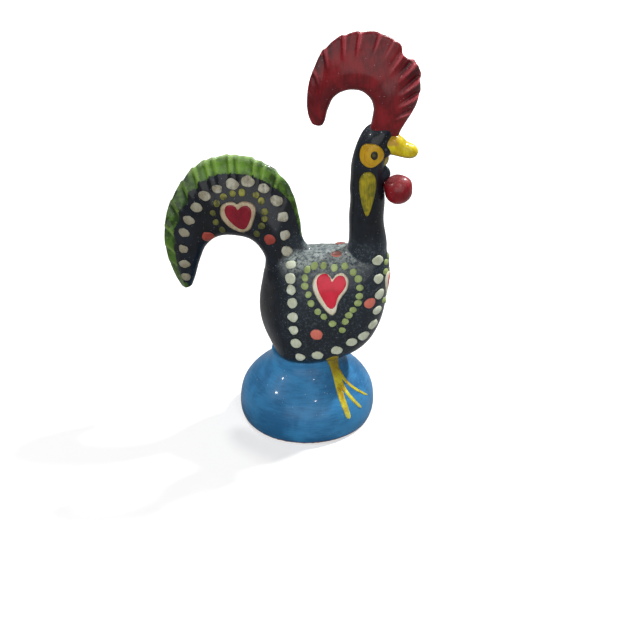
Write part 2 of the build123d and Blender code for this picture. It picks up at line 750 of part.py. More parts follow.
for name, (shape, over, under) in side_paint.items():
    side_dots[name] = dab(shape, over, under, (0, -1, 0))
    with BuildPart() as right_paint:
        add(side_dots[name])
        if name == "tail_white_dots":
            add(tail_frill.part, mode=Mode.SUBTRACT)
        if name == "body_white_dots":
            add(tail_plate.part, mode=Mode.SUBTRACT)
    right_paint.part.label = "right_" + name
    export_step(right_paint.part, "parts/right_" + name + ".step")
    with BuildPart() as left_paint:
        add(right_paint.part)
        mirror(about=Plane.XZ, mode=Mode.REPLACE)
    left_paint.part.label = "left_" + name
    export_step(left_paint.part, "parts/left_" + name + ".step")

# Painted legs and toes, from under the body down over the pedestal
foot_normal = Vector(1, 0, 0).rotate(Axis.Y, -leg_tilt).rotate(Axis.Z, -leg_turn)
foot_across = Vector(0, 1, 0).rotate(Axis.Z, -leg_turn)
leg_plane = Plane(origin=(0, 0, 0), x_dir=foot_across, z_dir=foot_normal)
leg_top = (leg_spread * leg_top_share[0], leg_height * leg_top_share[1])
ankle = (leg_spread * ankle_share[0], leg_height * ankle_share[1])
with BuildSketch(leg_plane) as leg_strokes:
    stroke(leg_top, ankle, leg_top_width, leg_ankle_width)
    for index, (u, v) in enumerate(toe_end_shares):
        toe_widths = (leg_ankle_width, thick_toe_width) if index == 0 else (thick_toe_width, thin_toe_width)
        stroke(ankle, (leg_spread * u, leg_height * v), *toe_widths)
with BuildPart() as leg_under:
    add(pedestal_shape)
    add(body_shape)
with BuildPart() as leg_over:
    add(pedestal_form(leg_thickness))
    add(body_form(leg_thickness))
leg_paint = dab(leg_strokes.sketch, leg_over.part, leg_under.part, foot_normal)
leg_paint = leg_paint - side_dots["body_white_dots"]
for side in ("right", "left"):
    with BuildPart() as leg:
        add(leg_paint)
        if side == "left":
            mirror(about=Plane.XZ, mode=Mode.REPLACE)
    leg.part.label = side + "_leg"
    export_step(leg.part, "parts/" + side + "_leg.step")

# Heart and dots on the front of the chest
chest_plane = Plane.YZ.offset(neck_rear + neck_depth / 2)
chest_middle = (0, pedestal_height + body_height * chest_heart_level_share)
chest_outer = heart(
    chest_plane, chest_middle, chest_heart_width, chest_heart_height, heart_left_shares, heart_right_shares
)
chest_inner = heart(
    chest_plane, chest_middle, chest_heart_fill_width, chest_heart_fill_height, heart_fill_left_shares,
    heart_fill_right_shares,
)
with BuildSketch(chest_plane) as chest_spots:
    for across, up in chest_dot_shares:
        for side in (-1, 1):
            if across > 0 or side == 1:
                with Locations((side * body_width / 2 * across, pedestal_height + body_height * up)):
                    Circle(chest_dot_diameter / 2)
chest_paint = {
    "chest_heart_outline": (chest_outer - chest_inner, painted_trunk_skin.part, trunk_skin.part),
    "chest_heart": (chest_inner, fill_skin, body_shape),
    "chest_green_dots": (chest_spots.sketch, painted_trunk_skin.part, trunk_skin.part),
}
for name, (shape, over, under) in chest_paint.items():
    with BuildPart() as chest:
        add(dab(shape, over, under, (1, 0, 0)))
    chest.part.label = name
    export_step(chest.part, "parts/" + name + ".step")
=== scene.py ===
import math
import random

import bmesh
import bpy
import numpy as np
from mathutils import Matrix, Vector, noise
from mathutils.bvhtree import BVHTree
from mathutils.kdtree import KDTree


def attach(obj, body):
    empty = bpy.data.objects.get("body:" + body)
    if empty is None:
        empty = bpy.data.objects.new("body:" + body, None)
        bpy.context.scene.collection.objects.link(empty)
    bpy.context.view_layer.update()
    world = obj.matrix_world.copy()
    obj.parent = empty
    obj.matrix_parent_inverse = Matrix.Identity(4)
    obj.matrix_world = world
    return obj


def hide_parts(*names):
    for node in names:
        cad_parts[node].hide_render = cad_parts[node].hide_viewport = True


# A painted clay rooster on a round pedestal: pinched and thrown clay, brushed enamel, dabbed dots, varnish.
# Sizes here are in millimetres until a mesh is finished, and then in metres.

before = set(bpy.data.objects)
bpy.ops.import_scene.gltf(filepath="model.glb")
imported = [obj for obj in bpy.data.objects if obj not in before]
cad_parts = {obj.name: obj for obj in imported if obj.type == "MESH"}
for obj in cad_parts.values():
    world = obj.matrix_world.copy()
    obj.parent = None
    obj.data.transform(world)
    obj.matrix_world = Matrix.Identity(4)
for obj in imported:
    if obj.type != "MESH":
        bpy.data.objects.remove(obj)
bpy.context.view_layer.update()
MM = 0.001
# The photo's camera: degrees round the bird and up, and the place that it looks at
camera_azimuth, camera_elevation = 10.0, 29.0
camera_aim = Vector((4.10, 0.0, 31.96)) * MM
camera_far = 0.350
focal_in_pixels, picture_in_pixels = 1161.15, 640


def direction(azimuth, elevation):
    """The way to a place that lies so many degrees round the bird and up."""
    a, e = math.radians(azimuth), math.radians(elevation)
    return Vector((math.sin(a) * math.cos(e), -math.cos(a) * math.cos(e), math.sin(e)))


def colour(code):
    """A paint's colour as the brush leaves it, from its six-figure code."""
    parts = [int(code[i:i + 2], 16) / 255 for i in (0, 2, 4)]
    return tuple(c / 12.92 if c <= 0.04045 else ((c + 0.055) / 1.055) ** 2.4 for c in parts) + (1.0,)


# Clay

def new_piece(name, mesh):
    piece = bpy.data.objects.new(name, mesh)
    bpy.context.scene.collection.objects.link(piece)
    return piece


def smooth_shaded(piece):
    for face in piece.data.polygons:
        face.use_smooth = True
    return piece


def whole_faces(*nodes):
    """The faces of some nodes, with their loose triangles joined up."""
    gathered = bmesh.new()
    for node in nodes:
        gathered.from_mesh(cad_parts[node].data)
    bmesh.ops.remove_doubles(gathered, verts=gathered.verts, dist=2e-6)
    return gathered


def piece_of(name, made):
    """A piece from faces that are done with."""
    mesh = bpy.data.meshes.new(name)
    made.to_mesh(mesh)
    made.free()
    return new_piece(name, mesh)


def turned_outwards(name, points, faces, merge=0.0):
    """A piece with all its faces turned outwards, and its points joined where they lie within merge."""
    mesh = bpy.data.meshes.new(name)
    mesh.from_pydata(points, [], faces)
    made = bmesh.new()
    made.from_mesh(mesh)
    if merge:
        bmesh.ops.remove_doubles(made, verts=made.verts, dist=merge)
    bmesh.ops.recalc_face_normals(made, faces=made.faces)
    made.to_mesh(mesh)
    made.free()
    return new_piece(name, mesh)


def settle(piece):
    """The piece with its modifiers worked into the mesh."""
    made = bpy.data.meshes.new_from_object(piece.evaluated_get(bpy.context.evaluated_depsgraph_get()))
    piece.modifiers.clear()
    old = piece.data
    piece.data = made
    bpy.data.meshes.remove(old)
    return piece


def wedge(piece, grain):
    """Works separate lumps of clay into one skin with an even grain."""
    kneading = piece.modifiers.new("one_skin", "REMESH")
    kneading.mode = "VOXEL"
    kneading.voxel_size = grain
    kneading.use_smooth_shade = True
    return settle(piece)


def read_all(items, key, width, kind=float):
    """One property of every point or edge, in rows of so many numbers."""
    numbers = np.empty(len(items) * width, kind)
    items.foreach_get(key, numbers)
    return numbers.reshape(-1, width)


def points_of(mesh):
    return read_all(mesh.vertices, "co", 3)


def set_points(mesh, co):
    mesh.vertices.foreach_set("co", co.ravel())
    mesh.update()


def wet_finger(piece, times, weight=1.0):
    """Smooths the clay as a wet finger does, more where weight is higher, without shrinking it much."""
    ease, swell = 0.55, -0.50
    co = points_of(piece.data)
    a, b = read_all(piece.data.edges, "vertices", 2, int).T
    count = np.bincount(a, minlength=len(co)) + np.bincount(b, minlength=len(co))
    share = (np.ones(len(co)) * weight)[:, None]
    for step in range(times * 2):
        total = np.zeros_like(co)
        for axis in range(3):
            total[:, axis] = np.bincount(a, co[b, axis], len(co)) + np.bincount(b, co[a, axis], len(co))
        co = co + (total / count[:, None] - co) * (ease if step % 2 == 0 else swell) * share
    set_points(piece.data, co)


def thumb_marks(piece, size, depth, seed):
    """Low bumps and hollows left by shaping the clay by hand. Sizes in millimetres."""
    co, no = points_of(piece.data), read_all(piece.data.vertex_normals, "vector", 3)
    shift = Vector((seed * 3.7, seed * 1.3, seed * 7.1))
    rise = np.array([noise.noise(Vector(p) / (size * MM) + shift) for p in co])
    fine = np.array([noise.noise(Vector(p) / (size * 0.4 * MM) - shift) for p in co])
    set_points(piece.data, co + no * ((rise + 0.35 * fine) * depth * MM)[:, None])


def mark_points(mesh, **marks):
    """Writes a value or a vector on every point of a mesh, under each name."""
    for label, numbers in marks.items():
        numbers = np.array(numbers, np.float32)
        kind, key = ("FLOAT", "value") if numbers.ndim == 1 else ("FLOAT_VECTOR", "vector")
        mesh.attributes.new(label, kind, "POINT").data.foreach_set(key, numbers.ravel())


def stand_for(piece, slot, *nodes):
    """The piece takes the place of its nodes, on the one body there is."""
    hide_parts(*nodes)
    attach(piece, "root")


def painted(piece, paint, slot, *nodes):
    piece.data.materials.clear()
    piece.data.materials.append(paint)
    stand_for(piece, slot, *nodes)


# Smooth lines through a few points

def line_through(points, count):
    """count points, evenly spaced, on a smooth line through the given ones."""
    pts = np.array(points, float)
    pts = np.vstack([2 * pts[0] - pts[1], pts, 2 * pts[-1] - pts[-2]])
    out = []
    for i in range(1, len(pts) - 2):
        for t in np.linspace(0, 1, 24, endpoint=False):
            a, b, c, d = pts[i - 1:i + 3]
            out.append(0.5 * (2 * b + (c - a) * t + (2 * a - 5 * b + 4 * c - d) * t ** 2
                              + (3 * b - a - 3 * c + d) * t ** 3))
    out.append(pts[-2])
    out = np.array(out)
    run = np.concatenate([[0], np.cumsum(np.linalg.norm(np.diff(out, axis=0), axis=1))])
    places = np.linspace(0, run[-1], count)
    return np.stack([np.interp(places, run, out[:, k]) for k in range(out.shape[1])], 1)


def loop_through(points, count):
    """count points on a smooth closed line through the given ones."""
    pts = [tuple(p) for p in points]
    long = line_through(pts[-3:] + pts + pts[:4], count * 4)
    start = np.argmin(np.linalg.norm(long[: count * 2] - np.array(pts[0]), axis=1))
    after = long[start + count // 2:]
    stop = start + count // 2 + np.argmin(np.linalg.norm(after - np.array(pts[0]), axis=1))
    return line_through(long[start:stop + 1], count + 1)[:-1]


def part_way(value, start, length):
    """How far a value has come from its start along a length, from 0 to 1."""
    return min(1.0, max(0.0, (value - start) / length))


def eased(share):
    return share * share * (3 - 2 * share)


# Brushes and pots of paint: node groups used by several paints

def node_group(name, inputs, outputs, kind="ShaderNodeTree"):
    group = bpy.data.node_groups.new(name, kind)
    for label, socket_kind, value in inputs:
        socket = group.interface.new_socket(label, in_out="INPUT", socket_type="NodeSocket" + socket_kind)
        if value is not None:
            socket.default_value = value
    for label, socket_kind in outputs:
        group.interface.new_socket(label, in_out="OUTPUT", socket_type="NodeSocket" + socket_kind)
    return group, Wiring(group)


def bare_wiring(holder):
    """The wiring of a material or a world, emptied first."""
    holder.use_nodes = True
    holder.node_tree.nodes.clear()
    return Wiring(holder.node_tree)


class Wiring:
    """Short words for placing nodes and joining them."""

    def __init__(self, tree):
        self.tree = tree
        self.column = 0

    def add(self, kind, settings=None, **sockets):
        """A node, its settings, and what feeds its sockets, in whose names each space is written _."""
        node = self.tree.nodes.new(kind)
        node.location = (self.column * 190, -(self.column % 5) * 160)
        self.column += 1
        for key, value in (settings or {}).items():
            setattr(node, key, value)
        for key, value in sockets.items():
            self.feed(node, key.replace("_", " "), value)
        return node

    def out(self, kind, settings=None, **sockets):
        """The first thing that a new node gives."""
        return self.add(kind, settings, **sockets).outputs[0]

    def feed(self, node, socket, value):
        target = node.inputs[socket]
        if isinstance(value, bpy.types.NodeSocket):
            self.tree.links.new(value, target)
        else:
            target.default_value = value

    def sum(self, operation, a, b=0.0, clamp=False):
        node = self.add("ShaderNodeMath", {"operation": operation, "use_clamp": clamp})
        self.feed(node, 0, a)
        self.feed(node, 1, b)
        return node.outputs[0]

    def plus(self, a, b):
        return self.sum("ADD", a, b)

    def minus(self, a, b):
        return self.sum("SUBTRACT", a, b)

    def times(self, first, *others):
        for other in others:
            first = self.sum("MULTIPLY", first, other)
        return first

    def vector(self, operation, a, b):
        """Two vectors worked together, or one scaled by a number."""
        node = self.add("ShaderNodeVectorMath", {"operation": operation})
        self.feed(node, 0, a)
        self.feed(node, "Scale" if operation == "SCALE" else 1, b)
        return node.outputs[0]

    def ramp(self, value, low, high, out_low=0.0, out_high=1.0):
        """A soft step from out_low to out_high, as the value goes from low to high."""
        node = self.add("ShaderNodeMapRange", {"interpolation_type": "SMOOTHSTEP"})
        for index, number in enumerate((value, low, high, out_low, out_high)):
            self.feed(node, index, number)
        return node.outputs[0]

    def mix(self, share, a, b):
        """Colour a with a share of colour b over it."""
        node = self.add("ShaderNodeMix", {"data_type": "RGBA"})
        for index, value in ((0, share), (6, a), (7, b)):
            self.feed(node, index, colour(value) if isinstance(value, str) else value)
        return node.outputs[2]

    def noise(self, where, scale, detail=2.0, rough=0.5, warp=0.0):
        return self.out("ShaderNodeTexNoise", Vector=where, Scale=scale, Detail=detail, Roughness=rough,
                        Distortion=warp)

    def ragged(self, where, scale, detail, rough, depth):
        """Noise about nought, for an edge drawn by hand."""
        return self.times(self.minus(self.noise(where, scale, detail, rough), 0.5), depth)

    def millimetres(self, where):
        return self.vector("SCALE", where, 1000.0)

    def parts(self, vector):
        return self.add("ShaderNodeSeparateXYZ", Vector=vector).outputs

    def facing_up(self):
        """1 where the surface faces up, -1 where it faces down."""
        return self.parts(self.add("ShaderNodeNewGeometry").outputs["Normal"])["Z"]

    def mark(self, name):
        """A value that was written on the points of the mesh."""
        return self.add("ShaderNodeAttribute", {"attribute_name": name}).outputs["Fac"]


def brushed_enamel_group():
    """Enamel laid on with a soft brush: uneven depth of colour, faint streaks and small bare chips."""
    group, w = node_group("brushed_enamel", [
        ("Position", "Vector", None), ("Thin colour", "Color", (0.5, 0.5, 0.5, 1)),
        ("Full colour", "Color", (0.5, 0.5, 0.5, 1)), ("Chip colour", "Color", (0.5, 0.4, 0.3, 1)),
        ("Brush", "Vector", (1.2, 1.2, 0.18)), ("Patch size", "Float", 6.0), ("Chips", "Float", 0.0),
    ], [("Colour", "Color"), ("Roughness", "Float"), ("Height", "Float")])
    into = w.add("NodeGroupInput").outputs
    mm = w.millimetres(into["Position"])
    patches = w.noise(mm, w.sum("DIVIDE", 1.0, into["Patch size"]), 3.0, 0.55, 0.4)
    brushed = w.out("ShaderNodeMapping", Vector=mm, Scale=into["Brush"])
    streaks = w.noise(brushed, 1.6, 3.0, 0.6)
    grain = w.noise(mm, 2.6, 4.0, 0.65)
    depth = w.plus(w.times(patches, 0.7), w.times(streaks, 0.3))
    paint = w.mix(w.ramp(depth, 0.36, 0.64), into["Thin colour"], into["Full colour"])
    chip_line = w.minus(0.80, w.times(into["Chips"], 0.16))
    chipped = w.ramp(w.minus(w.noise(mm, 0.75, 5.0, 0.7, 0.6), chip_line), 0.0, 0.012)
    rough = w.plus(w.times(patches, 0.10), w.times(grain, 0.14))
    height = w.plus(w.times(streaks, 0.5), w.times(grain, 0.25))
    w.add("NodeGroupOutput", Colour=w.mix(chipped, paint, into["Chip colour"]),
          Roughness=w.plus(rough, w.times(chipped, 0.3)), Height=w.minus(height, w.times(chipped, 0.5)))
    return group


def dust_group():
    """Dust and dry varnish that settle on what faces up, with pale specks."""
    group, w = node_group("shelf_dust", [
        ("Position", "Vector", None), ("Colour", "Color", (0.1, 0.1, 0.1, 1)),
        ("Dust colour", "Color", (0.4, 0.42, 0.45, 1)), ("Speck colour", "Color", (0.55, 0.6, 0.66, 1)),
        ("Amount", "Float", 0.3), ("Specks", "Float", 0.3),
    ], [("Colour", "Color"), ("Roughness", "Float")])
    into = w.add("NodeGroupInput").outputs
    mm = w.millimetres(into["Position"])
    up = w.ramp(w.facing_up(), 0.05, 0.95)
    cloud = w.ramp(w.noise(mm, 0.22, 4.0, 0.6, 0.3), 0.34, 0.68)
    fine = w.ramp(w.noise(mm, 2.2, 5.0, 0.75), 0.42, 0.66)
    laid = w.times(up, w.plus(w.times(cloud, 0.55), 0.45), w.plus(w.times(fine, 0.75), 0.25))
    dusty = w.sum("MULTIPLY", laid, into["Amount"], clamp=True)
    cells = w.add("ShaderNodeTexVoronoi", Vector=mm, Scale=1.25).outputs
    lucky = w.out("ShaderNodeSeparateColor", Color=cells["Color"])
    chosen = w.sum("GREATER_THAN", lucky, w.minus(1.0, w.times(into["Specks"], 0.4)))
    speck = w.times(w.ramp(cells["Distance"], 0.20, 0.08), chosen, w.plus(w.times(up, 0.7), 0.3))
    dulled = w.mix(dusty, into["Colour"], into["Dust colour"])
    w.add("NodeGroupOutput", Colour=w.mix(w.times(speck, 0.7), dulled, into["Speck colour"]),
          Roughness=w.times(w.sum("MAXIMUM", dusty, speck), 0.45))
    return group


brushed_enamel = brushed_enamel_group()
shelf_dust = dust_group()
varnish_gloss = 0.18
# How much rougher the brushwork alone makes a paint, on average
brush_roughness = 0.12


def enamel(name, full, thin, patch, chips, dust, specks, rough, bump, coat, coat_rough, chip="6a5238",
           dust_colour="8a929a", brush=(1.2, 1.2, 0.18), change=None, dot_change=0.0):
    """One pot of paint under varnish. change repaints part of it, given the wiring, the place and the colour,
    and gives back the colour and what to add to the roughness and the height."""
    material = bpy.data.materials.new(name)
    w = bare_wiring(material)
    where = w.add("ShaderNodeTexCoord").outputs["Object"]
    paint = w.add("ShaderNodeGroup", {"node_tree": brushed_enamel}, Position=where, Thin_colour=colour(thin),
                  Full_colour=colour(full), Chip_colour=colour(chip), Brush=brush, Patch_size=patch,
                  Chips=chips).outputs
    shade, more_rough, more_height = paint["Colour"], 0.0, 0.0
    if dot_change:
        shade = w.mix(w.times(w.mark("dab_shade"), dot_change), shade, thin)
    if change:
        shade, more_rough, more_height = change(w, where, shade)
    dusting = w.add("ShaderNodeGroup", {"node_tree": shelf_dust}, Position=where, Colour=shade,
                    Dust_colour=colour(dust_colour), Amount=dust, Specks=specks).outputs
    roughness = w.sum("ADD", w.plus(paint["Roughness"], dusting["Roughness"]),
                      w.plus(more_rough, rough - brush_roughness), clamp=True)
    height = w.plus(paint["Height"], more_height)
    relief = w.out("ShaderNodeBump", Strength=1.0, Distance=bump * MM, Height=height)
    surface = w.out("ShaderNodeBsdfPrincipled", Base_Color=dusting["Colour"], Roughness=roughness,
                    Normal=relief, Coat_Weight=coat, Coat_Roughness=coat_rough,
                    Specular_IOR_Level=varnish_gloss, IOR=1.5)
    w.add("ShaderNodeOutputMaterial", Surface=surface)
    return material


# The bird's clay: trunk, neck, tail and its pinched edge

tail_inner = [
    (-8.9, 43.9), (-12.1, 48.2), (-12.2, 52.1), (-14.1, 55.6), (-16.6, 57.5), (-20.1, 58.3), (-24.0, 58.2),
    (-27.4, 56.9), (-30.3, 53.9), (-32.1, 50.0), (-33.4, 46.0), (-34.4, 42.6), (-35.3, 40.2),
]
tail_outer = [
    (4.1, 53.5), (-0.7, 58.2), (-1.7, 64.8), (-3.9, 73.1), (-8.9, 79.6), (-16.6, 82.9), (-24.9, 82.7),
    (-32.4, 79.2), (-37.8, 72.4), (-41.6, 64.8), (-43.0, 56.9), (-42.5, 50.4), (-40.6, 43.9), (-38.5, 39.7),
]


def table_at(table, place):
    return np.interp(place, [row[0] for row in table], [row[1] for row in table])


def pinched_slab(inner, outer, along, across, half_at, sway_at, out_at):
    """Points of a flat slab between two edge lines: rounded edges, and a rim that waves as it was pinched.
    half_at and sway_at give half the thickness and the sideways lean at (place along, share across), and
    out_at moves the outer edge in or out at a place along, all in millimetres."""
    a, b = line_through(inner, along), line_through(outer, along)
    shares = (1 - np.cos(np.linspace(0, math.pi, across))) / 2
    # where across the slab its thickness sets how round each edge is
    near_inner, near_outer = 0.12, 0.97
    rows = []
    for i, place in enumerate(np.linspace(0, 1, along)):
        span = b[i] - a[i]
        reach = np.linalg.norm(span)
        reach_out = reach + out_at(place)
        side_up, side_down = [], []
        for share in shares:
            half = half_at(place, share)
            inner_round, outer_round = (half_at(place, edge) / reach for edge in (near_inner, near_outer))
            if share < inner_round:
                half *= math.sqrt(max(1 - (1 - share / inner_round) ** 2, 0))
            if share > 1 - outer_round:
                half *= math.sqrt(max(1 - (1 - (1 - share) / outer_round) ** 2, 0))
            spot = a[i] + span / reach * share * reach_out
            lean = sway_at(place, share)
            side_up.append((spot[0], lean - half, spot[1]))
            side_down.append((spot[0], lean + half, spot[1]))
        rows.append(side_up + side_down[-2:0:-1])
    return np.array(rows)


def faces_round(base, rows, width):
    """The faces round a tube of so many rows of points, which are numbered from base."""
    bands = [(base + i * width, base + (i + 1) * width) for i in range(rows - 1)]
    return [(here + j, here + (j + 1) % width, beyond + (j + 1) % width, beyond + j)
            for here, beyond in bands for j in range(width)]


def skin_rows(name, rows):
    """A closed mesh through rows of points, with its two ends capped."""
    count, width = rows.shape[:2]
    faces = faces_round(0, count, width)
    ends = [rows[0].mean(0), rows[-1].mean(0)]
    first, last = count * width, count * width + 1
    for j in range(width):
        k = (j + 1) % width
        faces.append((first, k, j))
        faces.append((last, (count - 1) * width + j, (count - 1) * width + k))
    return turned_outwards(name, np.vstack([rows.reshape(-1, 3), ends]) * MM, faces)


# How far the top of each wave leans over towards the next
fold_tilt = 0.75


def fold_wave(place, folds):
    """Sideways push of the pinched rim at a place along it: one lopsided wave for each pinch."""
    starts = [fold[0] for fold in folds]
    if place <= starts[0] or place >= starts[-1]:
        return 0.0
    index = max(i for i, start in enumerate(starts) if start <= place)
    phase = (place - starts[index]) / (starts[index + 1] - starts[index])
    strength = folds[index][1] * (1 - phase) + folds[index + 1][1] * phase
    turn = 2 * math.pi * phase
    return strength * math.sin(turn + fold_tilt * math.sin(turn))


# Where each pinch of the tail's edge starts, as a share of its length, and how strong it is
tail_folds = [
    (0.10, 0.0), (0.16, 0.1), (0.23, 0.2), (0.295, 0.55), (0.345, 0.3), (0.372, 0.7), (0.425, 0.3),
    (0.448, 0.75), (0.497, 0.35), (0.523, 0.6), (0.568, 1.1), (0.625, 1.2), (0.70, 1.25), (0.785, 0.8),
    (0.85, 0.4), (0.90, 0.3), (0.96, 0.0),
]
# How much painted light the green carries along the edge: a painted highlight over the top, painted shade at
# both ends
painted_green_light = [(0.0, 0.0), (0.15, 0.06), (0.24, 0.16), (0.30, 0.32), (0.36, 0.8), (0.46, 1.0), (0.55, 0.8),
               (0.61, 0.36), (0.70, 0.18), (0.82, 0.10), (1.0, 0.04)]
# How thick the tail is along its length, as a share of its own thickness, and how deep the green edge is
tail_thick = [(0.0, 1.12), (0.15, 1.0), (0.5, 0.92), (0.8, 0.78), (0.93, 0.66), (1.0, 0.50)]
frill_band = [(0.0, -5.0), (0.05, -1.0), (0.10, 0.5), (0.18, 1.5), (0.24, 2.6), (0.29, 4.3), (0.40, 5.0),
              (0.62, 5.2), (0.82, 4.9), (0.93, 3.9), (1.0, 2.4)]

# Half the tail's thickness in its middle and at its rim, and how far a pinch pushes the rim
tail_middle_half, tail_rim_half, tail_pinch = 4.2, 1.35, 0.78


def tail_half(place, share):
    belly = 0.84 + 0.16 * math.sin(math.pi * min(share * 1.4, 1))
    rim = part_way(share, 0.45, 0.45)
    return table_at(tail_thick, place) * (tail_middle_half * belly * (1 - rim) + tail_rim_half * rim)


def tail_sway(place, share):
    slanting = place - 0.02 * (share - 0.8)
    return tail_pinch * eased(part_way(share, 0.58, 0.30)) * fold_wave(slanting, tail_folds)


def tail_out(place):
    return -0.15 + 0.22 * fold_wave(place, tail_folds)


def rolled(name, centre, radii, turn=0.0, pressed=None):
    """A pellet of clay rolled between the fingers; pressed moves the points of the ball that it starts as."""
    made = bmesh.new()
    bmesh.ops.create_uvsphere(made, u_segments=48, v_segments=40, radius=1.0)
    spin = Matrix.Rotation(math.radians(turn), 4, "Y")
    for v in made.verts:
        p = pressed(v.co) if pressed else v.co
        v.co = (spin @ (p * Vector(radii)) + Vector(centre)) * MM
    bmesh.ops.recalc_face_normals(made, faces=made.faces)
    return smooth_shaded(piece_of(name, made))


def make_bird_clay():
    tail = pinched_slab(tail_inner, tail_outer, 260, 34, tail_half, tail_sway, tail_out)
    lumps = [skin_rows("tail_roll", tail)]
    bird = piece_of("trunk_neck_and_tail", whole_faces("body", "neck_and_head"))
    lumps += [rolled("cheek", (22.4, hand * 1.5, 88.1), (2.2, 2.3, 2.3)) for hand in (-1, 1)]
    lumps.append(rolled("throat", (22.0, 0.0, 80.4), (2.1, 1.9, 2.3)))
    joined = bmesh.new()
    joined.from_mesh(bird.data)
    for lump in lumps:
        joined.from_mesh(lump.data)
        bpy.data.objects.remove(lump)
    joined.to_mesh(bird.data)
    joined.free()
    wedge(bird, grain=0.40 * MM)
    x, _, z = (points_of(bird.data) / MM).T
    wet_finger(bird, times=3)
    # the joints of the rolls are smoothed over most
    at_neck = np.exp(-((z - 56.5) / 4.5) ** 2) * (np.abs(x - 17) < 13)
    at_tail = np.exp(-(np.hypot(x + 5, z - 50) / 9.0) ** 2)
    at_throat = np.exp(-(np.hypot(x - 22, z - 81) / 3.5) ** 2)
    wet_finger(bird, times=26, weight=np.clip(at_neck + at_tail + at_throat, 0, 1))
    thumb_marks(bird, size=11.0, depth=0.22, seed=3)
    return smooth_shaded(bird)


def lean_of(place, folds, side):
    """Which way the rim leans in a pinch, from 0, up to the light, to 1, down and away."""
    lean = fold_wave(place, folds) - fold_wave(place + 0.012, folds)
    return min(1.0, max(0.0, 0.5 + 0.55 * lean * (-1 if side > 0 else 1)))


def map_of_slab(inner, outer, along, across, first, last):
    """Spots spread over a slab, and for each its place along, its share across and the slab's width there."""
    a, b = line_through(inner, along), line_through(outer, along)
    tree, spots = KDTree(along * across), []
    for i in range(along):
        width = np.linalg.norm(b[i] - a[i])
        for j in range(across):
            share = first + (last - first) * j / (across - 1)
            x, z = a[i] + (b[i] - a[i]) * share
            tree.insert((x, 0.0, z), len(spots))
            spots.append((i / (along - 1), share, width))
    tree.balance()
    return tree, spots


def mark_frill(bird):
    """How far each point lies inside the green paint of the tail's edge in millimetres, where below nought is
    black, which way the rim leans in its pinch, for a painted highlight on the side that leans up to the
    light and painted shade on the side that leans away, and how much painted light the green carries."""
    tree, spots = map_of_slab(tail_inner, tail_outer, 400, 30, 0.42, 1.04)
    tail_front, tail_foot, spot_reach, not_green = 3.0, 39, 1.2, -5.0
    greens, creases, lights = [], [], []
    for x, y, z in points_of(bird.data) / MM:
        green, crease, light = not_green, 0.5, 0.5
        if x <= tail_front and z >= tail_foot:
            _, found, gap = tree.find((x, 0.0, z))
            if gap <= spot_reach:
                place, share, width = spots[found]
                uneven = 0.35 * noise.noise(Vector((place * 60, 0, 0)))
                scallop = 0.55 * fold_wave(place, tail_folds) + uneven
                green = table_at(frill_band, place) + scallop - (1 - share) * width
                crease, light = lean_of(place, tail_folds, y), table_at(painted_green_light, place)
        greens.append(green)
        creases.append(crease)
        lights.append(light)
    mark_points(bird.data, green_paint=greens, crease=creases, light=lights)


def green_edge(w, where, shade):
    """Leaf green brushed over the pinched edge of the tail, thin where it runs into the black, with painted
    light and shade on it. The black is greyer on the trunk, with a painted sheen that grows towards the top
    and blotches where the varnish has bloomed, and on the saddle it has grit and a painted sheen."""
    inside, pooled, mm = w.mark("green_paint"), w.mark("crease"), w.millimetres(where)
    ragged = w.ragged(mm, 0.9, 3.0, 0.6, 0.9)
    edge = w.ramp(w.plus(inside, ragged), -0.07, 0.07)
    wet = w.ramp(w.noise(mm, 0.34, 3.0, 0.6), 0.38, 0.60)
    # the painted light along the edge, made blotchy: the green runs from its dark painted shade to its bright
    # painted light
    light = w.sum("ADD", w.mark("light"), w.times(w.minus(wet, 0.55), 0.6), clamp=True)
    green = w.mix(light, "2c4415", "6f9c36")
    # painted shade on the side of each pinch that leans away from the light, and a painted highlight on the
    # side that leans up to it
    green = w.mix(w.ramp(pooled, 0.50, 0.95, 0.0, 0.6), green, "223c13")
    painted_fold_highlight = w.times(w.ramp(pooled, 0.45, 0.05, 0.0, 0.6), w.ramp(light, 0.0, 0.6, 0.45, 1.0))
    green = w.mix(painted_fold_highlight, green, "8db052")
    # a pale rim, partly wear and partly a painted highlight, brightest where the painted light is
    worn_and_highlit_rim = w.ramp(w.plus(inside, w.times(ragged, 1.6)), 3.9, 5.1, 0.0, 0.6)
    green = w.mix(w.times(worn_and_highlit_rim, light), green, "a9c07e")
    green = w.mix(w.ramp(inside, 0.9, 0.0, 0.0, 0.35), green, "1e3314")
    x, _, z = w.parts(where)
    on_trunk = w.times(w.ramp(x, -0.0085, -0.0025), w.ramp(z, 0.064, 0.057))
    # a painted bluish sheen on the trunk's black that grows towards the top; the blotches of bloomed varnish
    # are strongest where it is
    painted_trunk_sheen = w.times(on_trunk, w.ramp(z, 0.028, 0.052, 0.35, 0.75))
    bloom = w.ramp(w.noise(mm, 1.3, 6.0, 0.8), 0.50, 0.66)
    # on the saddle, where the trunk faces up: grit, and a painted sheen
    saddle = w.times(on_trunk, w.ramp(w.facing_up(), 0.25, 0.8))
    gritty = w.ramp(w.noise(mm, 0.9, 6.0, 0.85), 0.40, 0.58)
    shade = w.mix(painted_trunk_sheen, shade, "252f38")
    shade = w.mix(w.times(bloom, painted_trunk_sheen, 0.8), shade, "66747c")
    shade = w.mix(w.times(saddle, gritty), shade, "9aa29c")
    return w.mix(edge, shade, green), w.times(edge, -0.02), w.times(edge, 0.6)


bird = make_bird_clay()
mark_frill(bird)
black_enamel = enamel("black_enamel", "0b0e12", "181f29", chip="5a4a3c", patch=7.0, chips=0.25, dust=0.5,
                      dust_colour="6f7a84", specks=1.1, rough=0.32, bump=0.08, coat=0.28, coat_rough=0.10,
                      change=green_edge)
painted(bird, black_enamel, "black_enamel", "body", "neck_and_head", "tail_plate", "tail_frill")

# Comb

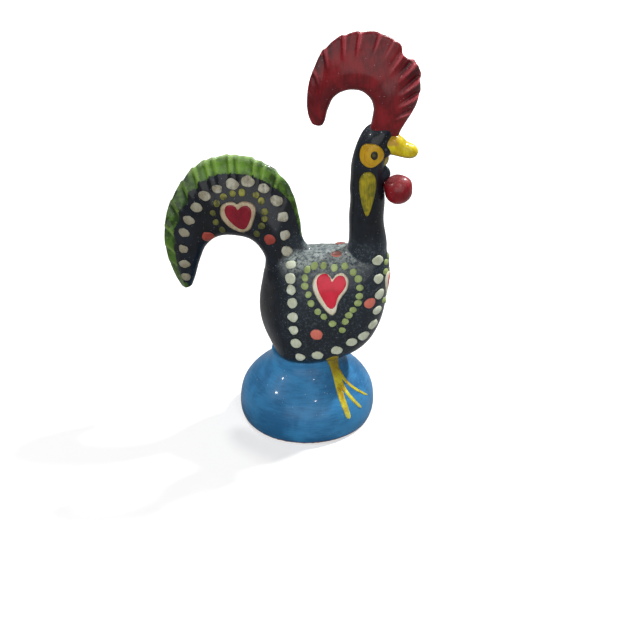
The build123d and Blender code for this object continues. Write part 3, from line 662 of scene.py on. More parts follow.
comb_inner = [
    (17.4, 89.9), (17.4, 92.9), (18.1, 94.5), (18.5, 96.2), (18.9, 98.7), (18.8, 99.8), (18.5, 100.9),
    (18.0, 101.9), (17.2, 102.7), (16.3, 103.4), (15.4, 103.8), (14.4, 104.0), (13.4, 104.0), (12.3, 103.9),
    (11.3, 103.6), (10.3, 103.2), (9.3, 102.6), (8.5, 101.9), (7.8, 101.1), (7.3, 100.2), (6.8, 99.0),
    (6.3, 97.7), (6.0, 96.3), (5.6, 94.8), (4.9, 93.4),
]
comb_outer = [
    (25.9, 89.9), (26.5, 92.9), (27.8, 95.6), (29.2, 98.1), (30.3, 100.2), (31.1, 102.7), (31.5, 105.1),
    (31.5, 108.2), (31.0, 111.0), (30.3, 112.7), (28.9, 113.1), (27.5, 113.7), (26.4, 115.1), (26.0, 116.9),
    (24.8, 118.0), (22.1, 119.3), (18.8, 120.1),
    (15.5, 120.0), (12.5, 119.6), (9.7, 118.5), (7.1, 116.8), (4.9, 114.7), (3.2, 111.9), (1.9, 108.7),
    (0.9, 105.3), (0.4, 101.9), (0.3, 98.7), (0.7, 95.9), (1.7, 93.6),
]
# Where each pinch of the comb's edge starts, as a share of its length, and how strong it is
comb_folds = [
    (0.075, 0.0), (0.135, 0.8), (0.20, 1.1), (0.258, 1.3), (0.322, 1.3), (0.38, 0.5), (0.44, 0.3),
    (0.49, 0.35), (0.56, 0.6), (0.618, 0.8), (0.705, 1.3), (0.79, 1.2), (0.875, 0.2), (0.94, 0.0),
]
comb_taper = [(0.0, 1.0), (0.2, 1.0), (0.5, 0.92), (0.8, 0.74), (0.93, 0.62), (1.0, 0.5)]

# Half the comb's thickness in its middle and at its rim, and how far a pinch pushes the rim
comb_middle_half, comb_rim_half, comb_pinch = 3.15, 1.05, 0.80


def comb_half(place, share):
    rim = part_way(share, 0.35, 0.6)
    return table_at(comb_taper, place) * (comb_middle_half * (1 - rim) + comb_rim_half * rim)


def comb_sway(place, share):
    return comb_pinch * eased(part_way(share, 0.50, 0.42)) * fold_wave(place, comb_folds)


def comb_out(place):
    return -0.15 + 0.12 * fold_wave(place, comb_folds)


def make_comb():
    comb = skin_rows("comb", pinched_slab(comb_inner, comb_outer, 220, 34, comb_half, comb_sway, comb_out))
    wedge(comb, grain=0.36 * MM)
    wet_finger(comb, times=3)
    thumb_marks(comb, size=8.0, depth=0.18, seed=8)
    return smooth_shaded(comb)


def mark_comb(comb):
    """Which way the comb's rim leans, for painted highlight and shade on its pinches, fading out towards its
    middle.
    """
    tree, spots = map_of_slab(comb_inner, comb_outer, 300, 20, 0.30, 1.02)
    leans = []
    for x, y, z in points_of(comb.data) / MM:
        place, share, _ = spots[tree.find((x, 0.0, z))[1]]
        leans.append(0.5 + (lean_of(place, comb_folds, y) - 0.5) * part_way(share, 0.50, 0.35))
    mark_points(comb.data, crease=leans)


def lit_and_shaded_folds(w, where, shade):
    """A painted highlight on the side of each pinch that leans up to the light, and painted shade on the side
    that leans away.
    """
    pooled = w.mark("crease")
    shade = w.mix(w.ramp(pooled, 0.54, 0.95, 0.0, 0.75), shade, "330a10")
    return w.mix(w.ramp(pooled, 0.44, 0.05, 0.0, 0.8), shade, "b04a52"), 0.0, 0.0


comb = make_comb()
mark_comb(comb)
comb_red = enamel("comb_red", "841a21", "5a1218", chip="b09088", patch=7.0, chips=0.6, dust=0.16,
                  dust_colour="a07078", specks=0.30, rough=0.36, bump=0.08, coat=0.22, coat_rough=0.20,
                  change=lit_and_shaded_folds)
painted(comb, comb_red, "comb_red_enamel", "comb")


# Pedestal, beaks and wattle

def bare_inside(w, where, shade):
    """The hollow and the foot ring were never painted: bare red clay with a smear of blue."""
    x, y, z = w.parts(where)
    mm = w.millimetres(where)
    radius = w.sum("SQRT", w.plus(w.times(x, x), w.times(y, y)))
    under = w.ramp(w.plus(z, w.ragged(mm, 0.5, 3.0, 0.6, 0.0012)), 0.0007, 0.0004)
    reach = w.plus(w.times(z, -1.05), 0.0206)
    inside = w.ramp(w.minus(radius, w.sum("MINIMUM", reach, 0.0180)), 0.0, -0.0003)
    bare = w.sum("MAXIMUM", under, w.times(inside, w.ramp(w.facing_up(), 0.35, 0.05)))
    clay = w.mix(w.noise(mm, 0.8, 4.0, 0.6), "a8603c", "8a4a2e")
    return w.mix(bare, shade, clay), w.times(bare, 0.5), w.times(bare, 0.6)


pedestal = piece_of("pedestal", whole_faces("pedestal"))
wedge(pedestal, grain=0.5 * MM)
wet_finger(pedestal, times=4)
thumb_marks(pedestal, size=16.0, depth=0.16, seed=14)
smooth_shaded(pedestal)
pedestal_blue = enamel("pedestal_blue", "3a86ba", "276493", chip="d8e4ee", patch=11.0, chips=0.1, dust=0.08,
                       dust_colour="9cc4e8", specks=0.25, rough=0.36, bump=0.07, coat=0.16, coat_rough=0.09,
                       change=bare_inside, brush=(0.16, 0.16, 1.3))
painted(pedestal, pedestal_blue, "blue_enamel", "pedestal")


def ahead_of(spine, i):
    """Which way a line runs at one of its points."""
    way = spine[min(i + 1, len(spine) - 1), :2] - spine[max(i - 1, 0), :2]
    return way / np.linalg.norm(way)


def peg(name, line, radii, wide, steps=60, sides=40):
    """A peg of clay drawn out along a line of (x, z) places, with a radius for each and a round tip."""
    spine = line_through([(x, z, r) for (x, z), r in zip(line, radii)], steps)
    last = steps - 1
    rows = []
    for i, (x, z, r) in enumerate(spine):
        ahead = ahead_of(spine, i)
        tip = min(1.0, (last - i) / last / 0.20)
        r = max(0.02, r * math.sqrt(max(0.0, 1 - (1 - tip) ** 2)))
        turns = [2 * math.pi * k / sides for k in range(sides)]
        rows.append([(x - ahead[1] * r * math.cos(a), wide * r * math.sin(a), z + ahead[0] * r * math.cos(a))
                     for a in turns])
    return smooth_shaded(skin_rows(name, np.array(rows)))


def beak_root(w, where, shade):
    """Brown glaze pooled at the top of the root, painted shade along the underside, and a duller beige low
    down, on the lower beak.
    """
    x, _, z = w.parts(where)
    ragged = w.ragged(w.millimetres(where), 1.1, 2.0, 0.5, 0.0007)
    pooled = w.ramp(w.plus(x, ragged), 0.0270, 0.0256)
    high = w.ramp(w.plus(z, ragged), 0.0893, 0.0902, 0.0, 0.9)
    shade = w.mix(w.times(pooled, high), shade, "b0861c")
    # painted shade along the underside of the beak
    low = w.ramp(w.minus(z, w.times(x, -0.30)), 0.0948, 0.0938, 0.0, 0.75)
    shade = w.mix(low, shade, "6e5a12")
    jaw = w.ramp(z, 0.0868, 0.0862, 0.0, 0.85)
    return w.mix(jaw, shade, "a3935a"), 0.0, 0.0


upper_beak = peg(
    "upper_beak",
    [(21.6, 89.5), (24.2, 89.3), (25.3, 88.95), (27.2, 88.0), (28.8, 87.55), (30.2, 87.35), (31.5, 87.25)],
    [2.9, 3.1, 2.95, 2.42, 2.2, 1.95, 1.75], wide=0.98)
thumb_marks(upper_beak, size=4.0, depth=0.12, seed=21)
lower_beak = rolled("lower_beak", (22.0, 0.0, 84.4), (1.35, 1.5, 1.95), turn=24.0)
thumb_marks(lower_beak, size=3.0, depth=0.10, seed=22)
beak_yellow = enamel("beak_yellow", "d9c81a", "bfa616", chip="a8781a", patch=3.0, chips=0.03, dust=0.15,
                     dust_colour="f2e890", specks=0.1, rough=0.30, bump=0.05, coat=0.2, coat_rough=0.15,
                     change=beak_root)
painted(upper_beak, beak_yellow, "beak_yellow_enamel", "upper_beak")
painted(lower_beak, beak_yellow, "beak_yellow_enamel", "lower_beak")


def wattle_lump(p):
    """A ball pressed a little square, more so above, where it hangs, and fuller in front."""
    corner = 4 * p.x * p.x * p.z * p.z
    fuller = 1.0 + 0.04 * p.x + corner * (0.13 if p.z > 0 else 0.05)
    return Vector((p.x * fuller, p.y, p.z))


wattle = rolled("wattle", (26.25, 0.0, 75.95), (4.0, 3.9, 4.25), turn=-8.0, pressed=wattle_lump)
thumb_marks(wattle, size=6.0, depth=0.2, seed=31)
wattle_red = enamel("wattle_red", "8e1620", "6a0f18", chip="b89a90", patch=4.0, chips=0.12, dust=0.30,
                    dust_colour="c8a0a0", specks=0.25, rough=0.32, bump=0.06, coat=0.25, coat_rough=0.2)
painted(wattle, wattle_red, "comb_red_enamel", "wattle")


# Paint dabbed, drawn and filled on the clay

def skin_tree(*pieces):
    """The outside of some clay pieces, for laying paint on."""
    points, faces = [], []
    for piece in pieces:
        start = len(points)
        points += [v.co.copy() for v in piece.data.vertices]
        faces += [[start + i for i in f.vertices] for f in piece.data.polygons]
    return BVHTree.FromPolygons(points, faces)


bird_skin = skin_tree(bird)
feet_skin = skin_tree(bird, pedestal)


def lie_on(skin, point, outward, far=0.006):
    """Where a point comes down on the clay from outside, and which way the clay faces there."""
    hit, normal, _, _ = skin.ray_cast(point + outward * far, -outward, far * 2.2)
    if hit is None:
        hit, normal, _, _ = skin.find_nearest(point)
    if normal.dot(outward) < 0:
        normal = -normal
    return hit, normal


def islands(node):
    """The separate dabs of a paint node: each one's points."""
    made = whole_faces(node)
    left, found = set(made.verts), []
    while left:
        group, edge = set(), [left.pop()]
        while edge:
            v = edge.pop()
            group.add(v)
            for e in v.link_edges:
                other = e.other_vert(v)
                if other in left:
                    left.discard(other)
                    edge.append(other)
        found.append([v.co.copy() for v in group])
    made.free()
    return found


def dab_seats(node, skin):
    """Centre, facing, long way and half sizes of each dab of a node, on the hand-worked clay."""
    seats = []
    for points in islands(node):
        middle = sum(points, Vector()) / len(points)
        _, facing, _, _ = skin.find_nearest(middle)
        level = Vector((0, 0, 1)).cross(facing)
        level = level.normalized() if level.length > 0.2 else Vector((1, 0, 0))
        rise = facing.cross(level).normalized()
        flat = np.array([((p - middle).dot(level), (p - middle).dot(rise)) for p in points])
        off, half = (flat.max(0) + flat.min(0)) / 2, (flat.max(0) - flat.min(0)) / 2
        spot, facing = lie_on(skin, middle + level * off[0] + rise * off[1], facing, 0.003)
        seats.append((spot, facing, level, half))
    return sorted(seats, key=lambda seat: (round(seat[0].x, 5), round(seat[0].z, 5)))


def dab_tree():
    """Dabs of thick paint: a soft lens at each seat, its outline pulled about, laid down on the clay."""
    tree, w = node_group("dabbed_dots", [
        ("Geometry", "Geometry", None), ("Clay", "Object", None), ("Thickness", "Float", 0.0004),
        ("Wobble", "Float", 0.00018), ("Wobble size", "Float", 0.0022), ("Seed", "Int", 1),
        ("Paint", "Material", None),
    ], [("Geometry", "Geometry")], "GeometryNodeTree")
    tree.is_modifier = True
    into = w.add("NodeGroupInput").outputs
    here = w.out("GeometryNodeInputPosition")

    def named(name, kind="FLOAT_VECTOR"):
        return w.out("GeometryNodeInputNamedAttribute", {"data_type": kind}, Name=name)

    # a ball pressed flat, with a note at each point of how high it was
    x, y, height = w.parts(here)
    ball = w.add("GeometryNodeMeshUVSphere", Segments=26, Rings=14, Radius=1.0).outputs["Mesh"]
    noted = w.out("GeometryNodeStoreNamedAttribute", {"data_type": "FLOAT", "domain": "POINT"}, Name="lift",
                  Geometry=ball, Value=height)
    lens = w.out("GeometryNodeSetPosition", Geometry=noted,
                 Position=w.out("ShaderNodeCombineXYZ", X=x, Y=y))

    facing = named("facing")
    upright = w.out("FunctionNodeAlignRotationToVector", {"axis": "Z"}, Vector=facing)
    turned = w.out("FunctionNodeAlignRotationToVector", {"axis": "X", "pivot_axis": "Z"}, Rotation=upright,
                   Vector=named("level"))
    laid = w.out("GeometryNodeInstanceOnPoints", Points=into["Geometry"], Instance=lens, Rotation=turned,
                 Scale=named("half_size"))
    real = w.out("GeometryNodeRealizeInstances", Geometry=laid)

    # pull the outline about, in the plane of the dab
    spread = w.vector("SCALE", here, w.sum("DIVIDE", 1.0, into["Wobble size"]))
    shift = w.out("ShaderNodeCombineXYZ", X=w.times(into["Seed"], 17.31))
    pull = w.add("ShaderNodeTexNoise", Vector=w.vector("ADD", spread, shift), Scale=1.0, Detail=1.0)
    pull = w.vector("SUBTRACT", pull.outputs["Color"], (0.5, 0.5, 0.5))
    pulled = w.out("GeometryNodeSetPosition", Geometry=real,
                   Offset=w.vector("SCALE", pull, w.times(into["Wobble"], 4.0)))

    # come down on the clay, domed above it and tucked in below
    clay = w.add("GeometryNodeObjectInfo", {"transform_space": "ORIGINAL"}, Object=into["Clay"])
    cast = w.add("GeometryNodeRaycast", Target_Geometry=clay.outputs["Geometry"],
                 Source_Position=w.vector("ADD", here, w.vector("SCALE", facing, 0.003)),
                 Ray_Direction=w.vector("SCALE", facing, -1.0), Ray_Length=0.008).outputs
    lift = named("lift", "FLOAT")
    sign = w.sum("SIGN", lift)
    tall = w.times(sign, w.sum("POWER", w.sum("ABSOLUTE", lift), 0.8), into["Thickness"],
                   w.plus(0.65, w.times(sign, 0.35)))
    domed = w.vector("ADD", cast["Hit Position"], w.vector("SCALE", cast["Hit Normal"], tall))
    landed = w.out("GeometryNodeSetPosition", Geometry=pulled, Selection=cast["Is Hit"], Position=domed)
    coated = w.out("GeometryNodeSetMaterial", Geometry=landed, Material=into["Paint"])
    w.add("NodeGroupOutput", Geometry=coated)
    return tree


dabbed_dots = dab_tree()


def dab_on(node, paint, slot, thickness, wobble, seed, shade_towards=(0.0, 0.0, 0.0)):
    """One colour of dots on one side, dabbed where the plan puts them. shade_towards is the way that painted
    shade deepens over the dots."""
    seats = dab_seats(node, bird_skin)
    # thinner is how far along shade_towards a dot lies, that is how deep its painted shade is; each dot's
    # shade mixes that with chance
    along = np.array([seat[0].dot(Vector(shade_towards)) for seat in seats])
    thinner = (along - along.min()) / max(along.max() - along.min(), 1e-6)
    mesh = bpy.data.meshes.new(node)
    mesh.from_pydata([seat[0] for seat in seats], [], [])
    piece = new_piece(node, mesh)
    chance = random.Random(seed * 7 + 1)
    weight = 0.75 if any(shade_towards) else 0.0
    shades = [chance.random() * (1 - weight) + weight * share for share in thinner]
    widest_half, tallest_half = 1.95 * MM, 1.75 * MM
    halves = []
    for spot, facing, _, (long, high) in seats:
        # dots on the saddle are seen aslant, and those at the tail's tip are small
        on_top = part_way(facing.z, 0.30, 0.6)
        high_share = 1 - (0.20 if "coral" in node else 0.40) * on_top
        high_share *= 0.88 if spot.x < -0.025 and "white" in node else 1.0
        small = 0.80 if facing.z > 0.6 and "coral" in node else 1.0
        halves.append((min(long, widest_half) * small, min(high, tallest_half) * high_share * small, 1.0))
    mark_points(mesh, facing=[tuple(seat[1]) for seat in seats], level=[tuple(seat[2]) for seat in seats],
                half_size=halves, dab_shade=shades)
    dabs = piece.modifiers.new("dabs", "NODES")
    dabs.node_group = dabbed_dots
    sockets = {s.name: s.identifier for s in dabbed_dots.interface.items_tree if s.in_out == "INPUT"}
    for key, value in (("Clay", bird), ("Thickness", thickness * MM), ("Wobble", wobble * MM),
                       ("Wobble size", 2.4 * MM), ("Seed", seed), ("Paint", paint)):
        dabs[sockets[key]] = value
    stand_for(smooth_shaded(settle(piece)), slot, node)


def paint_skin(node, points, faces, paint, slot):
    """A closed skin of paint in the place of its node."""
    painted(smooth_shaded(turned_outwards(node, points, faces, 1e-6)), paint, slot, node)


def from_side(hand):
    """Looking at one side of the bird: (x, z) places, and the way that faces the looker."""
    return lambda x, z: Vector((x, hand * 0.012, z)), Vector((0, hand, 0))


def from_front():
    """Looking at the chest: (y, z) places."""
    return lambda y, z: Vector((0.024, y, z)), Vector((1, 0, 0))


def patch_on(node, line, paint, slot, thickness, view, skin, rings=9, brim=0.35):
    """A filled patch of paint with a soft edge, inside a closed line of places in millimetres."""
    place, outward = view
    line = np.array(line) * MM
    middle = line.mean(0)
    points, faces = [], []
    count = len(line)
    for side in (1, -1):
        base = len(points)
        for ring in range(rings + 1):
            share = (ring / rings) ** 0.8
            for k in range(count if ring else 1):
                spot, normal = lie_on(skin, place(*(middle + (line[k] - middle) * share)), outward, 0.012)
                gap = np.linalg.norm(line[k] - middle) * (1 - share)
                rise = 1 - (1 - min(1.0, gap / (brim * MM))) ** 2
                lift = (thickness if side > 0 else -0.15) * MM * math.sqrt(max(rise, 0))
                points.append(spot + normal * lift)

        def at(ring, k):
            return base if ring == 0 else base + 1 + (ring - 1) * count + k % count

        for ring in range(rings):
            for k in range(count):
                if ring == 0:
                    face = (at(0, 0), at(1, k), at(1, k + 1))
                else:
                    face = (at(ring, k), at(ring + 1, k), at(ring + 1, k + 1), at(ring, k + 1))
                faces.append(face if side > 0 else face[::-1])
    paint_skin(node, points, faces, paint, slot)


def strokes_on(node, strokes, paint, slot, thickness, view, skin):
    """Strokes of a loaded brush: each a line of places and widths in millimetres, with bristle grooves."""
    place, outward = view
    points, faces = [], []
    across = 9
    ring = across * 2 - 2
    for number, (path, widths) in enumerate(strokes):
        spine = line_through([(u, v, wide) for (u, v), wide in zip(path, widths)], 48)
        base = len(points)
        last = len(spine) - 1
        for i, (u, v, wide) in enumerate(spine):
            end = min(1.0, min(i, last - i) / last / 0.05)
            half = wide / 2 * math.sqrt(max(1 - (1 - end) ** 2, 0.02))
            ahead = ahead_of(spine, i)
            for k in range(ring):
                top = k < across
                share = (k if top else ring - k) / (across - 1) * 2 - 1
                spot, normal = lie_on(skin, place((u - ahead[1] * half * share) * MM,
                                                  (v + ahead[0] * half * share) * MM), outward, 0.03)
                brim = math.sqrt(max(1 - share ** 4, 0))
                groove = 0.8 + 0.2 * math.cos(share * 9.0 + number * 2)
                points.append(spot + normal * (thickness * groove if top else -0.12) * MM * brim)
        faces += faces_round(base, len(spine), ring)
        faces.append([base + k for k in range(ring)])
        faces.append([base + last * ring + k for k in range(ring)][::-1])
    paint_skin(node, points, faces, paint, slot)


def pupil_light(w, where, shade):
    """The middle of the pupil is thinner paint and looks olive."""
    x, _, z = w.parts(where)
    dx, dz = w.minus(x, 0.01995), w.minus(z, 0.08765)
    gap = w.sum("SQRT", w.plus(w.times(dx, dx), w.times(dz, dz)))
    return w.mix(w.ramp(gap, 0.0007, 0.0002), shade, "4f4c2c"), 0.0, 0.0


def dull_on_top(w, where, shade):
    """Dots on the saddle are rubbed and dusty."""
    return w.mix(w.ramp(w.facing_up(), 0.45, 0.75, 0.0, 0.8), shade, "6a4c48"), 0.0, 0.0


def body_shadow_on_leg(w, where, shade):
    """The body's shadow is painted in as olive at the top of the leg, and the paint is paler towards the
    toes.
    """
    z = w.parts(where)["Z"]
    shade = w.mix(w.ramp(z, 0.0130, 0.0060, 0.0, 0.6), shade, "dcdc6a")
    # painted shadow of the body on the top of the leg
    return w.mix(w.ramp(z, 0.0150, 0.0215, 0.0, 0.8), shade, "7c6a1c"), 0.0, 0.0


def dab_paint(name, full, thin, chips=0.3, dot_change=0.6, **more):
    """Paint for dots: thick, slightly chalky, no two dots the same shade."""
    return enamel(name, full, thin, patch=2.6, chips=chips, dust=0.12, specks=0.0, rough=0.38, bump=0.06,
                  coat=0.12, coat_rough=0.25, dot_change=dot_change, **more)


def line_paint(name, full, thin, **more):
    """Paint for hearts, outlines, eyes and lobes: filled with the brush and glossy under the varnish."""
    more = {"patch": 3.0, "chips": 0.1, "rough": 0.32, "coat": 0.2, **more}
    return enamel(name, full, thin, dust=0.08, specks=0.0, bump=0.05, coat_rough=0.12, **more)


# The tail's dot, heart and outline paints are darker copies of the body's: painted shade on the tail. The
# tail's white dots also have more chips.
body_white = dab_paint("body_white_dabs", "e0e6d6", "bcc2a8", chips=0.5, chip="5a5248")
shaded_tail_white = dab_paint("tail_white_dabs", "c6c6b6", "8c8570", chips=1.1, chip="2a2620", dot_change=0.9)
body_green = dab_paint("body_green_dabs", "b4c688", "90a160")
shaded_tail_green = dab_paint("tail_green_dabs", "a8a648", "484b28", dot_change=0.95)
body_coral = dab_paint("body_coral_dabs", "ea8672", "d27060", change=dull_on_top)
shaded_tail_coral = dab_paint("tail_coral_dabs", "ae4c40", "8a3a30")
cream_line = line_paint("cream_outline", "ebe7d4", "d6cdb0")
shaded_tail_outline = line_paint("beige_outline", "bfae92", "a08e70")
heart_red = line_paint("heart_red", "e02e46", "cc263c", chip="e08a80")
shaded_tail_heart_red = line_paint("tail_heart_red", "8c1a2c", "741422")
amber = line_paint("amber", "cda421", "b58b1c", patch=3.5)
olive = line_paint("olive", "ae9c20", "6c6a20", patch=3.0, brush=(2.2, 2.2, 0.25))
orange_brown = line_paint("orange_brown", "b8741c", "9c5c18", patch=1.6)
pupil_black = line_paint("pupil_black", "17170c", "23220f", patch=1.0, coat=0.7, change=pupil_light)
leg_yellow = enamel("leg_yellow", "dcd43a", "a8841e", chip="8a7a18", patch=3.0, chips=0.05, dust=0.05,
                    specks=0.0, rough=0.34, bump=0.06, coat=0.2, coat_rough=0.15, brush=(2.6, 2.6, 0.3),
                    change=body_shadow_on_leg)
for side in ("right", "left"):
    # on the tail, painted shade deepens over the white dots towards the rear and low down, and over the green
    # dots low down
    for place, kind, paint, slot, thickness, wobble, seed, shade_towards in (
        ("body", "white", body_white, "white_dot_enamel", 0.45, 0.24, 3, (0, 0, 0)),
        ("tail", "white", shaded_tail_white, "white_dot_enamel", 0.40, 0.28, 5, (-1, 0, -0.3)),
        ("body", "green", body_green, "green_dot_enamel", 0.36, 0.14, 7, (0, 0, 0)),
        ("tail", "green", shaded_tail_green, "green_dot_enamel", 0.34, 0.15, 9, (0, 0, -1)),
        ("body", "coral", body_coral, "coral_dot_enamel", 0.42, 0.16, 11, (0, 0, 0)),
        ("tail", "coral", shaded_tail_coral, "coral_dot_enamel", 0.40, 0.18, 13, (0, 0, 0)),
    ):
        dab_on(side + "_" + place + "_" + kind + "_dots", paint, slot, thickness, wobble, seed, shade_towards)
dab_on("chest_green_dots", body_green, "green_dot_enamel", 0.34, 0.10, 15)

body_heart_line = loop_through([
    (9.3, 50.7), (8.3, 51.7), (6.7, 52.2), (4.7, 51.6), (3.6, 49.6), (3.8, 47.5), (5.0, 44.9), (7.0, 42.0),
    (8.6, 40.3), (9.8, 39.9), (10.7, 41.1), (11.1, 43.4), (12.2, 45.6), (13.6, 47.8), (14.0, 49.9),
    (13.5, 51.5), (12.0, 52.4), (10.3, 52.0),
], 96)
body_fill_line = loop_through([
    (9.2, 50.1), (8.5, 51.3), (7.2, 52.1), (5.5, 51.8), (4.6, 50.6), (4.7, 48.7), (5.4, 46.7), (6.7, 44.4),
    (8.0, 42.4), (9.2, 41.6), (10.3, 42.2), (10.8, 43.6), (11.3, 45.6), (12.6, 47.4), (13.5, 49.2),
    (13.3, 50.7), (12.5, 51.8), (11.1, 51.9), (10.1, 51.2),
], 96)
tail_heart_line = loop_through([
    (-19.3, 69.7), (-20.5, 70.2), (-22.4, 69.9), (-24.0, 68.8), (-24.5, 66.9), (-24.1, 64.9), (-22.9, 63.1),
    (-21.0, 61.6), (-18.6, 60.7), (-17.0, 61.1), (-15.5, 62.3), (-14.7, 64.3), (-14.0, 66.7), (-13.8, 68.6),
    (-14.7, 70.0), (-16.5, 70.6), (-18.2, 70.4),
], 96)
tail_fill_line = loop_through([
    (-19.1, 68.2), (-19.8, 69.1), (-21.0, 69.5), (-22.4, 69.3), (-23.2, 68.2), (-23.1, 66.4), (-22.0, 64.5),
    (-20.5, 62.9), (-19.0, 61.9), (-17.9, 61.7), (-17.1, 61.9), (-16.3, 62.8), (-15.5, 64.5), (-14.9, 66.6),
    (-14.9, 68.4), (-15.9, 69.5), (-17.1, 69.6), (-18.3, 69.0),
], 96)


def hand_round(centre, width, height, seed, uneven=0.04):
    """A round filled in by hand, not quite even."""
    chance = random.Random(seed)
    phases = [chance.uniform(0, 6.28) for _ in range(3)]
    out = []
    for k in range(72):
        a = 2 * math.pi * k / 72
        r = 1 + uneven * (math.sin(2 * a + phases[0]) + 0.6 * math.sin(3 * a + phases[1])
                          + 0.4 * math.sin(5 * a + phases[2]))
        out.append((centre[0] + width / 2 * r * math.cos(a), centre[1] + height / 2 * r * math.sin(a)))
    return out


lobe_line = loop_through([
    (18.25, 82.5), (16.9, 81.9), (16.0, 80.0), (15.9, 77.6), (16.3, 74.9), (17.0, 71.9), (17.8, 69.6),
    (18.4, 69.1), (19.0, 70.0), (19.8, 73.0), (20.4, 76.0), (20.6, 78.6), (20.3, 80.9), (19.4, 82.2),
], 96)


def chest_line(width, height, centre_z):
    """A heart for the chest, as places in Y and Z."""
    shape = [(0.0, 0.40), (-0.13, 0.48), (-0.29, 0.50), (-0.44, 0.43), (-0.50, 0.27), (-0.44, 0.06),
             (-0.30, -0.16), (-0.12, -0.36), (0.0, -0.50)]
    shape = shape + [(-u, v) for u, v in shape[-2:0:-1]]
    return loop_through([(width * u, centre_z + height * v) for u, v in shape], 80)


def open_ring(centre, width, height, first, last):
    """A curved stroke round a centre, from one angle to another."""
    angles = [math.radians(first + (last - first) * k / 8) for k in range(9)]
    return [(centre[0] + width / 2 * math.cos(a), centre[1] + height / 2 * math.sin(a)) for a in angles]


eye_strokes = [(open_ring((19.75, 87.25), 4.5, 5.2, 120, 305), [0.5, 0.9, 1.1, 1.2, 1.2, 1.1, 1.0, 0.8, 0.4])]
for side, hand in (("right", -1), ("left", 1)):
    view = from_side(hand)
    for node, line, paint, slot, thickness in (
        ("body_heart_outline", body_heart_line, cream_line, "cream_outline_enamel", 0.34),
        ("body_heart", body_fill_line, heart_red, "heart_red_enamel", 0.46),
        ("tail_heart_outline", tail_heart_line, shaded_tail_outline, "cream_outline_enamel", 0.32),
        ("tail_heart", tail_fill_line, shaded_tail_heart_red, "tail_heart_red_enamel", 0.44),
        ("eye_disc", hand_round((19.15, 87.3), 6.5, 7.2, 4), amber, "ochre_enamel", 0.40),
        ("pupil", hand_round((19.95, 87.5), 2.05, 2.6, 6), pupil_black, "pupil_enamel", 0.60),
        ("ear_lobe", lobe_line, olive, "ochre_enamel", 0.40),
    ):
        patch_on(side + "_" + node, line, paint, slot, thickness, view, bird_skin)
    strokes_on(side + "_eye_ring", eye_strokes, orange_brown, "eye_ring_enamel", 0.47, view, bird_skin)

front = from_front()
patch_on("chest_heart_outline", chest_line(6.0, 8.2, 46.8), cream_line, "cream_outline_enamel", 0.32, front,
         bird_skin)
patch_on("chest_heart", chest_line(3.4, 5.4, 46.9), heart_red, "heart_red_enamel", 0.44, front, bird_skin)


def from_front_quarter(hand):
    """Looking down at a foot from ahead of the bird's side, as the painter did: (across, up) places.
    The left foot points a little further out than the right one."""
    out = Matrix.Rotation(math.radians(27.0 if hand > 0 else 0.0), 3, "Z")
    back = direction(camera_azimuth, camera_elevation)
    right = direction(camera_azimuth + 90, 0)
    up = back.cross(right)

    def face(v):
        return out @ Vector((v.x, v.y * -hand, v.z))

    return lambda u, v: face(camera_aim + right * u + up * v + back * 0.012), face(back)


leg_and_toes = [
    ([(3.5, -10.9), (4.3, -13.6), (5.0, -17.2)], [4.1, 2.9, 2.1]),
    ([(4.7, -15.9), (6.3, -22.6), (7.5, -26.0), (8.8, -29.6)], [2.1, 1.9, 1.8, 1.4]),
    ([(5.3, -16.2), (7.3, -20.6), (9.8, -23.8), (12.4, -26.5)], [1.5, 1.1, 1.0, 0.8]),
    ([(5.4, -14.8), (7.6, -18.2), (10.7, -20.8), (14.3, -22.9)], [1.3, 0.8, 0.75, 0.6]),
]
for side, hand in (("right", -1), ("left", 1)):
    strokes_on(side + "_leg", leg_and_toes, leg_yellow, "leg_yellow_enamel", 0.24, from_front_quarter(hand),
               feet_skin)


# Table, lamps and camera

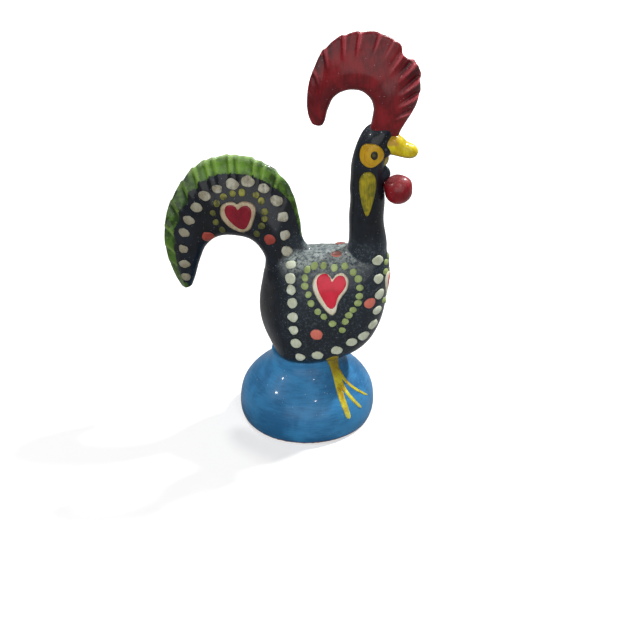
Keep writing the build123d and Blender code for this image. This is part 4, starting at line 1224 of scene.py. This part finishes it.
def make_floor():
    mesh = bpy.data.meshes.new("floor")
    mesh.from_pydata([(-3, -3, 0), (3, -3, 0), (3, 3, 0), (-3, 3, 0)], [], [(0, 1, 2, 3)])
    floor = new_piece("floor", mesh)
    material = bpy.data.materials.new("floor_white")
    w = bare_wiring(material)
    seen = w.add("ShaderNodeLightPath").outputs["Is Camera Ray"]
    where = w.add("ShaderNodeTexCoord").outputs["Object"]
    far = w.add("ShaderNodeVectorMath", {"operation": "LENGTH"}, Vector=where).outputs["Value"]
    grey = w.mix(seen, (0.26, 0.26, 0.26, 1), (0.62, 0.62, 0.62, 1))
    glow = w.times(seen, w.ramp(far, 0.08, 0.45, 0.50, 1.0))
    matt = w.out("ShaderNodeBsdfPrincipled", Base_Color=grey, Emission_Color=(1.0, 1.0, 1.0, 1),
                 Emission_Strength=glow, Roughness=0.9, Specular_IOR_Level=0.1)
    w.add("ShaderNodeOutputMaterial", Surface=matt)
    mesh.materials.append(material)


def make_world():
    world = bpy.data.worlds.new("room")
    bpy.context.scene.world = world
    w = bare_wiring(world)
    seen = w.add("ShaderNodeLightPath").outputs["Is Camera Ray"]
    sky = w.out("ShaderNodeBackground", Color=(1.0, 1.0, 1.0, 1), Strength=w.plus(0.12, w.times(seen, 0.88)))
    w.add("ShaderNodeOutputWorld", Surface=sky)


def aim(thing, place, back):
    """Stands a lamp or the camera at a place, looking the other way from back."""
    bpy.context.scene.collection.objects.link(thing)
    thing.location = place
    thing.rotation_mode = "QUATERNION"
    thing.rotation_quaternion = (-back).to_track_quat("-Z", "Y")


def make_camera():
    lens = bpy.data.cameras.new("camera")
    lens.sensor_width = 36.0
    lens.lens = focal_in_pixels / picture_in_pixels * lens.sensor_width
    lens.clip_start, lens.clip_end = 0.01, 20.0
    camera = bpy.data.objects.new("camera", lens)
    back = direction(camera_azimuth, camera_elevation)
    aim(camera, camera_aim + back * camera_far, back)
    bpy.context.scene.camera = camera


def soft_lamp(name, azimuth, elevation, far, size, level):
    """A lamp aimed at the middle of the bird. A level of 1 lights what faces it so that its paint shows as
    written."""
    lamp = bpy.data.lights.new(name, "AREA")
    lamp.shape = "RECTANGLE"
    lamp.size, lamp.size_y = size
    lamp.energy = level * math.pi ** 2 * far ** 2
    stand = bpy.data.objects.new(name, lamp)
    back = direction(azimuth, elevation)
    aim(stand, Vector((0, 0, 0.06)) + back * far, back)
    stand.visible_camera = False


make_floor()
make_world()
make_camera()
soft_lamp("right_window", 133, 52, 0.7, (0.05, 0.05), 1.30)
soft_lamp("back_window", -128, 56, 0.7, (0.06, 0.06), 0.36)
soft_lamp("front_soft", 10, 8, 1.0, (1.5, 1.2), 0.98)
soft_lamp("left_lamp", -64, 42, 0.7, (0.03, 0.03), 0.20)
soft_lamp("front_lamp", 32, 48, 0.8, (0.03, 0.03), 0.08)
view = bpy.context.scene.view_settings
view.view_transform = "Standard"
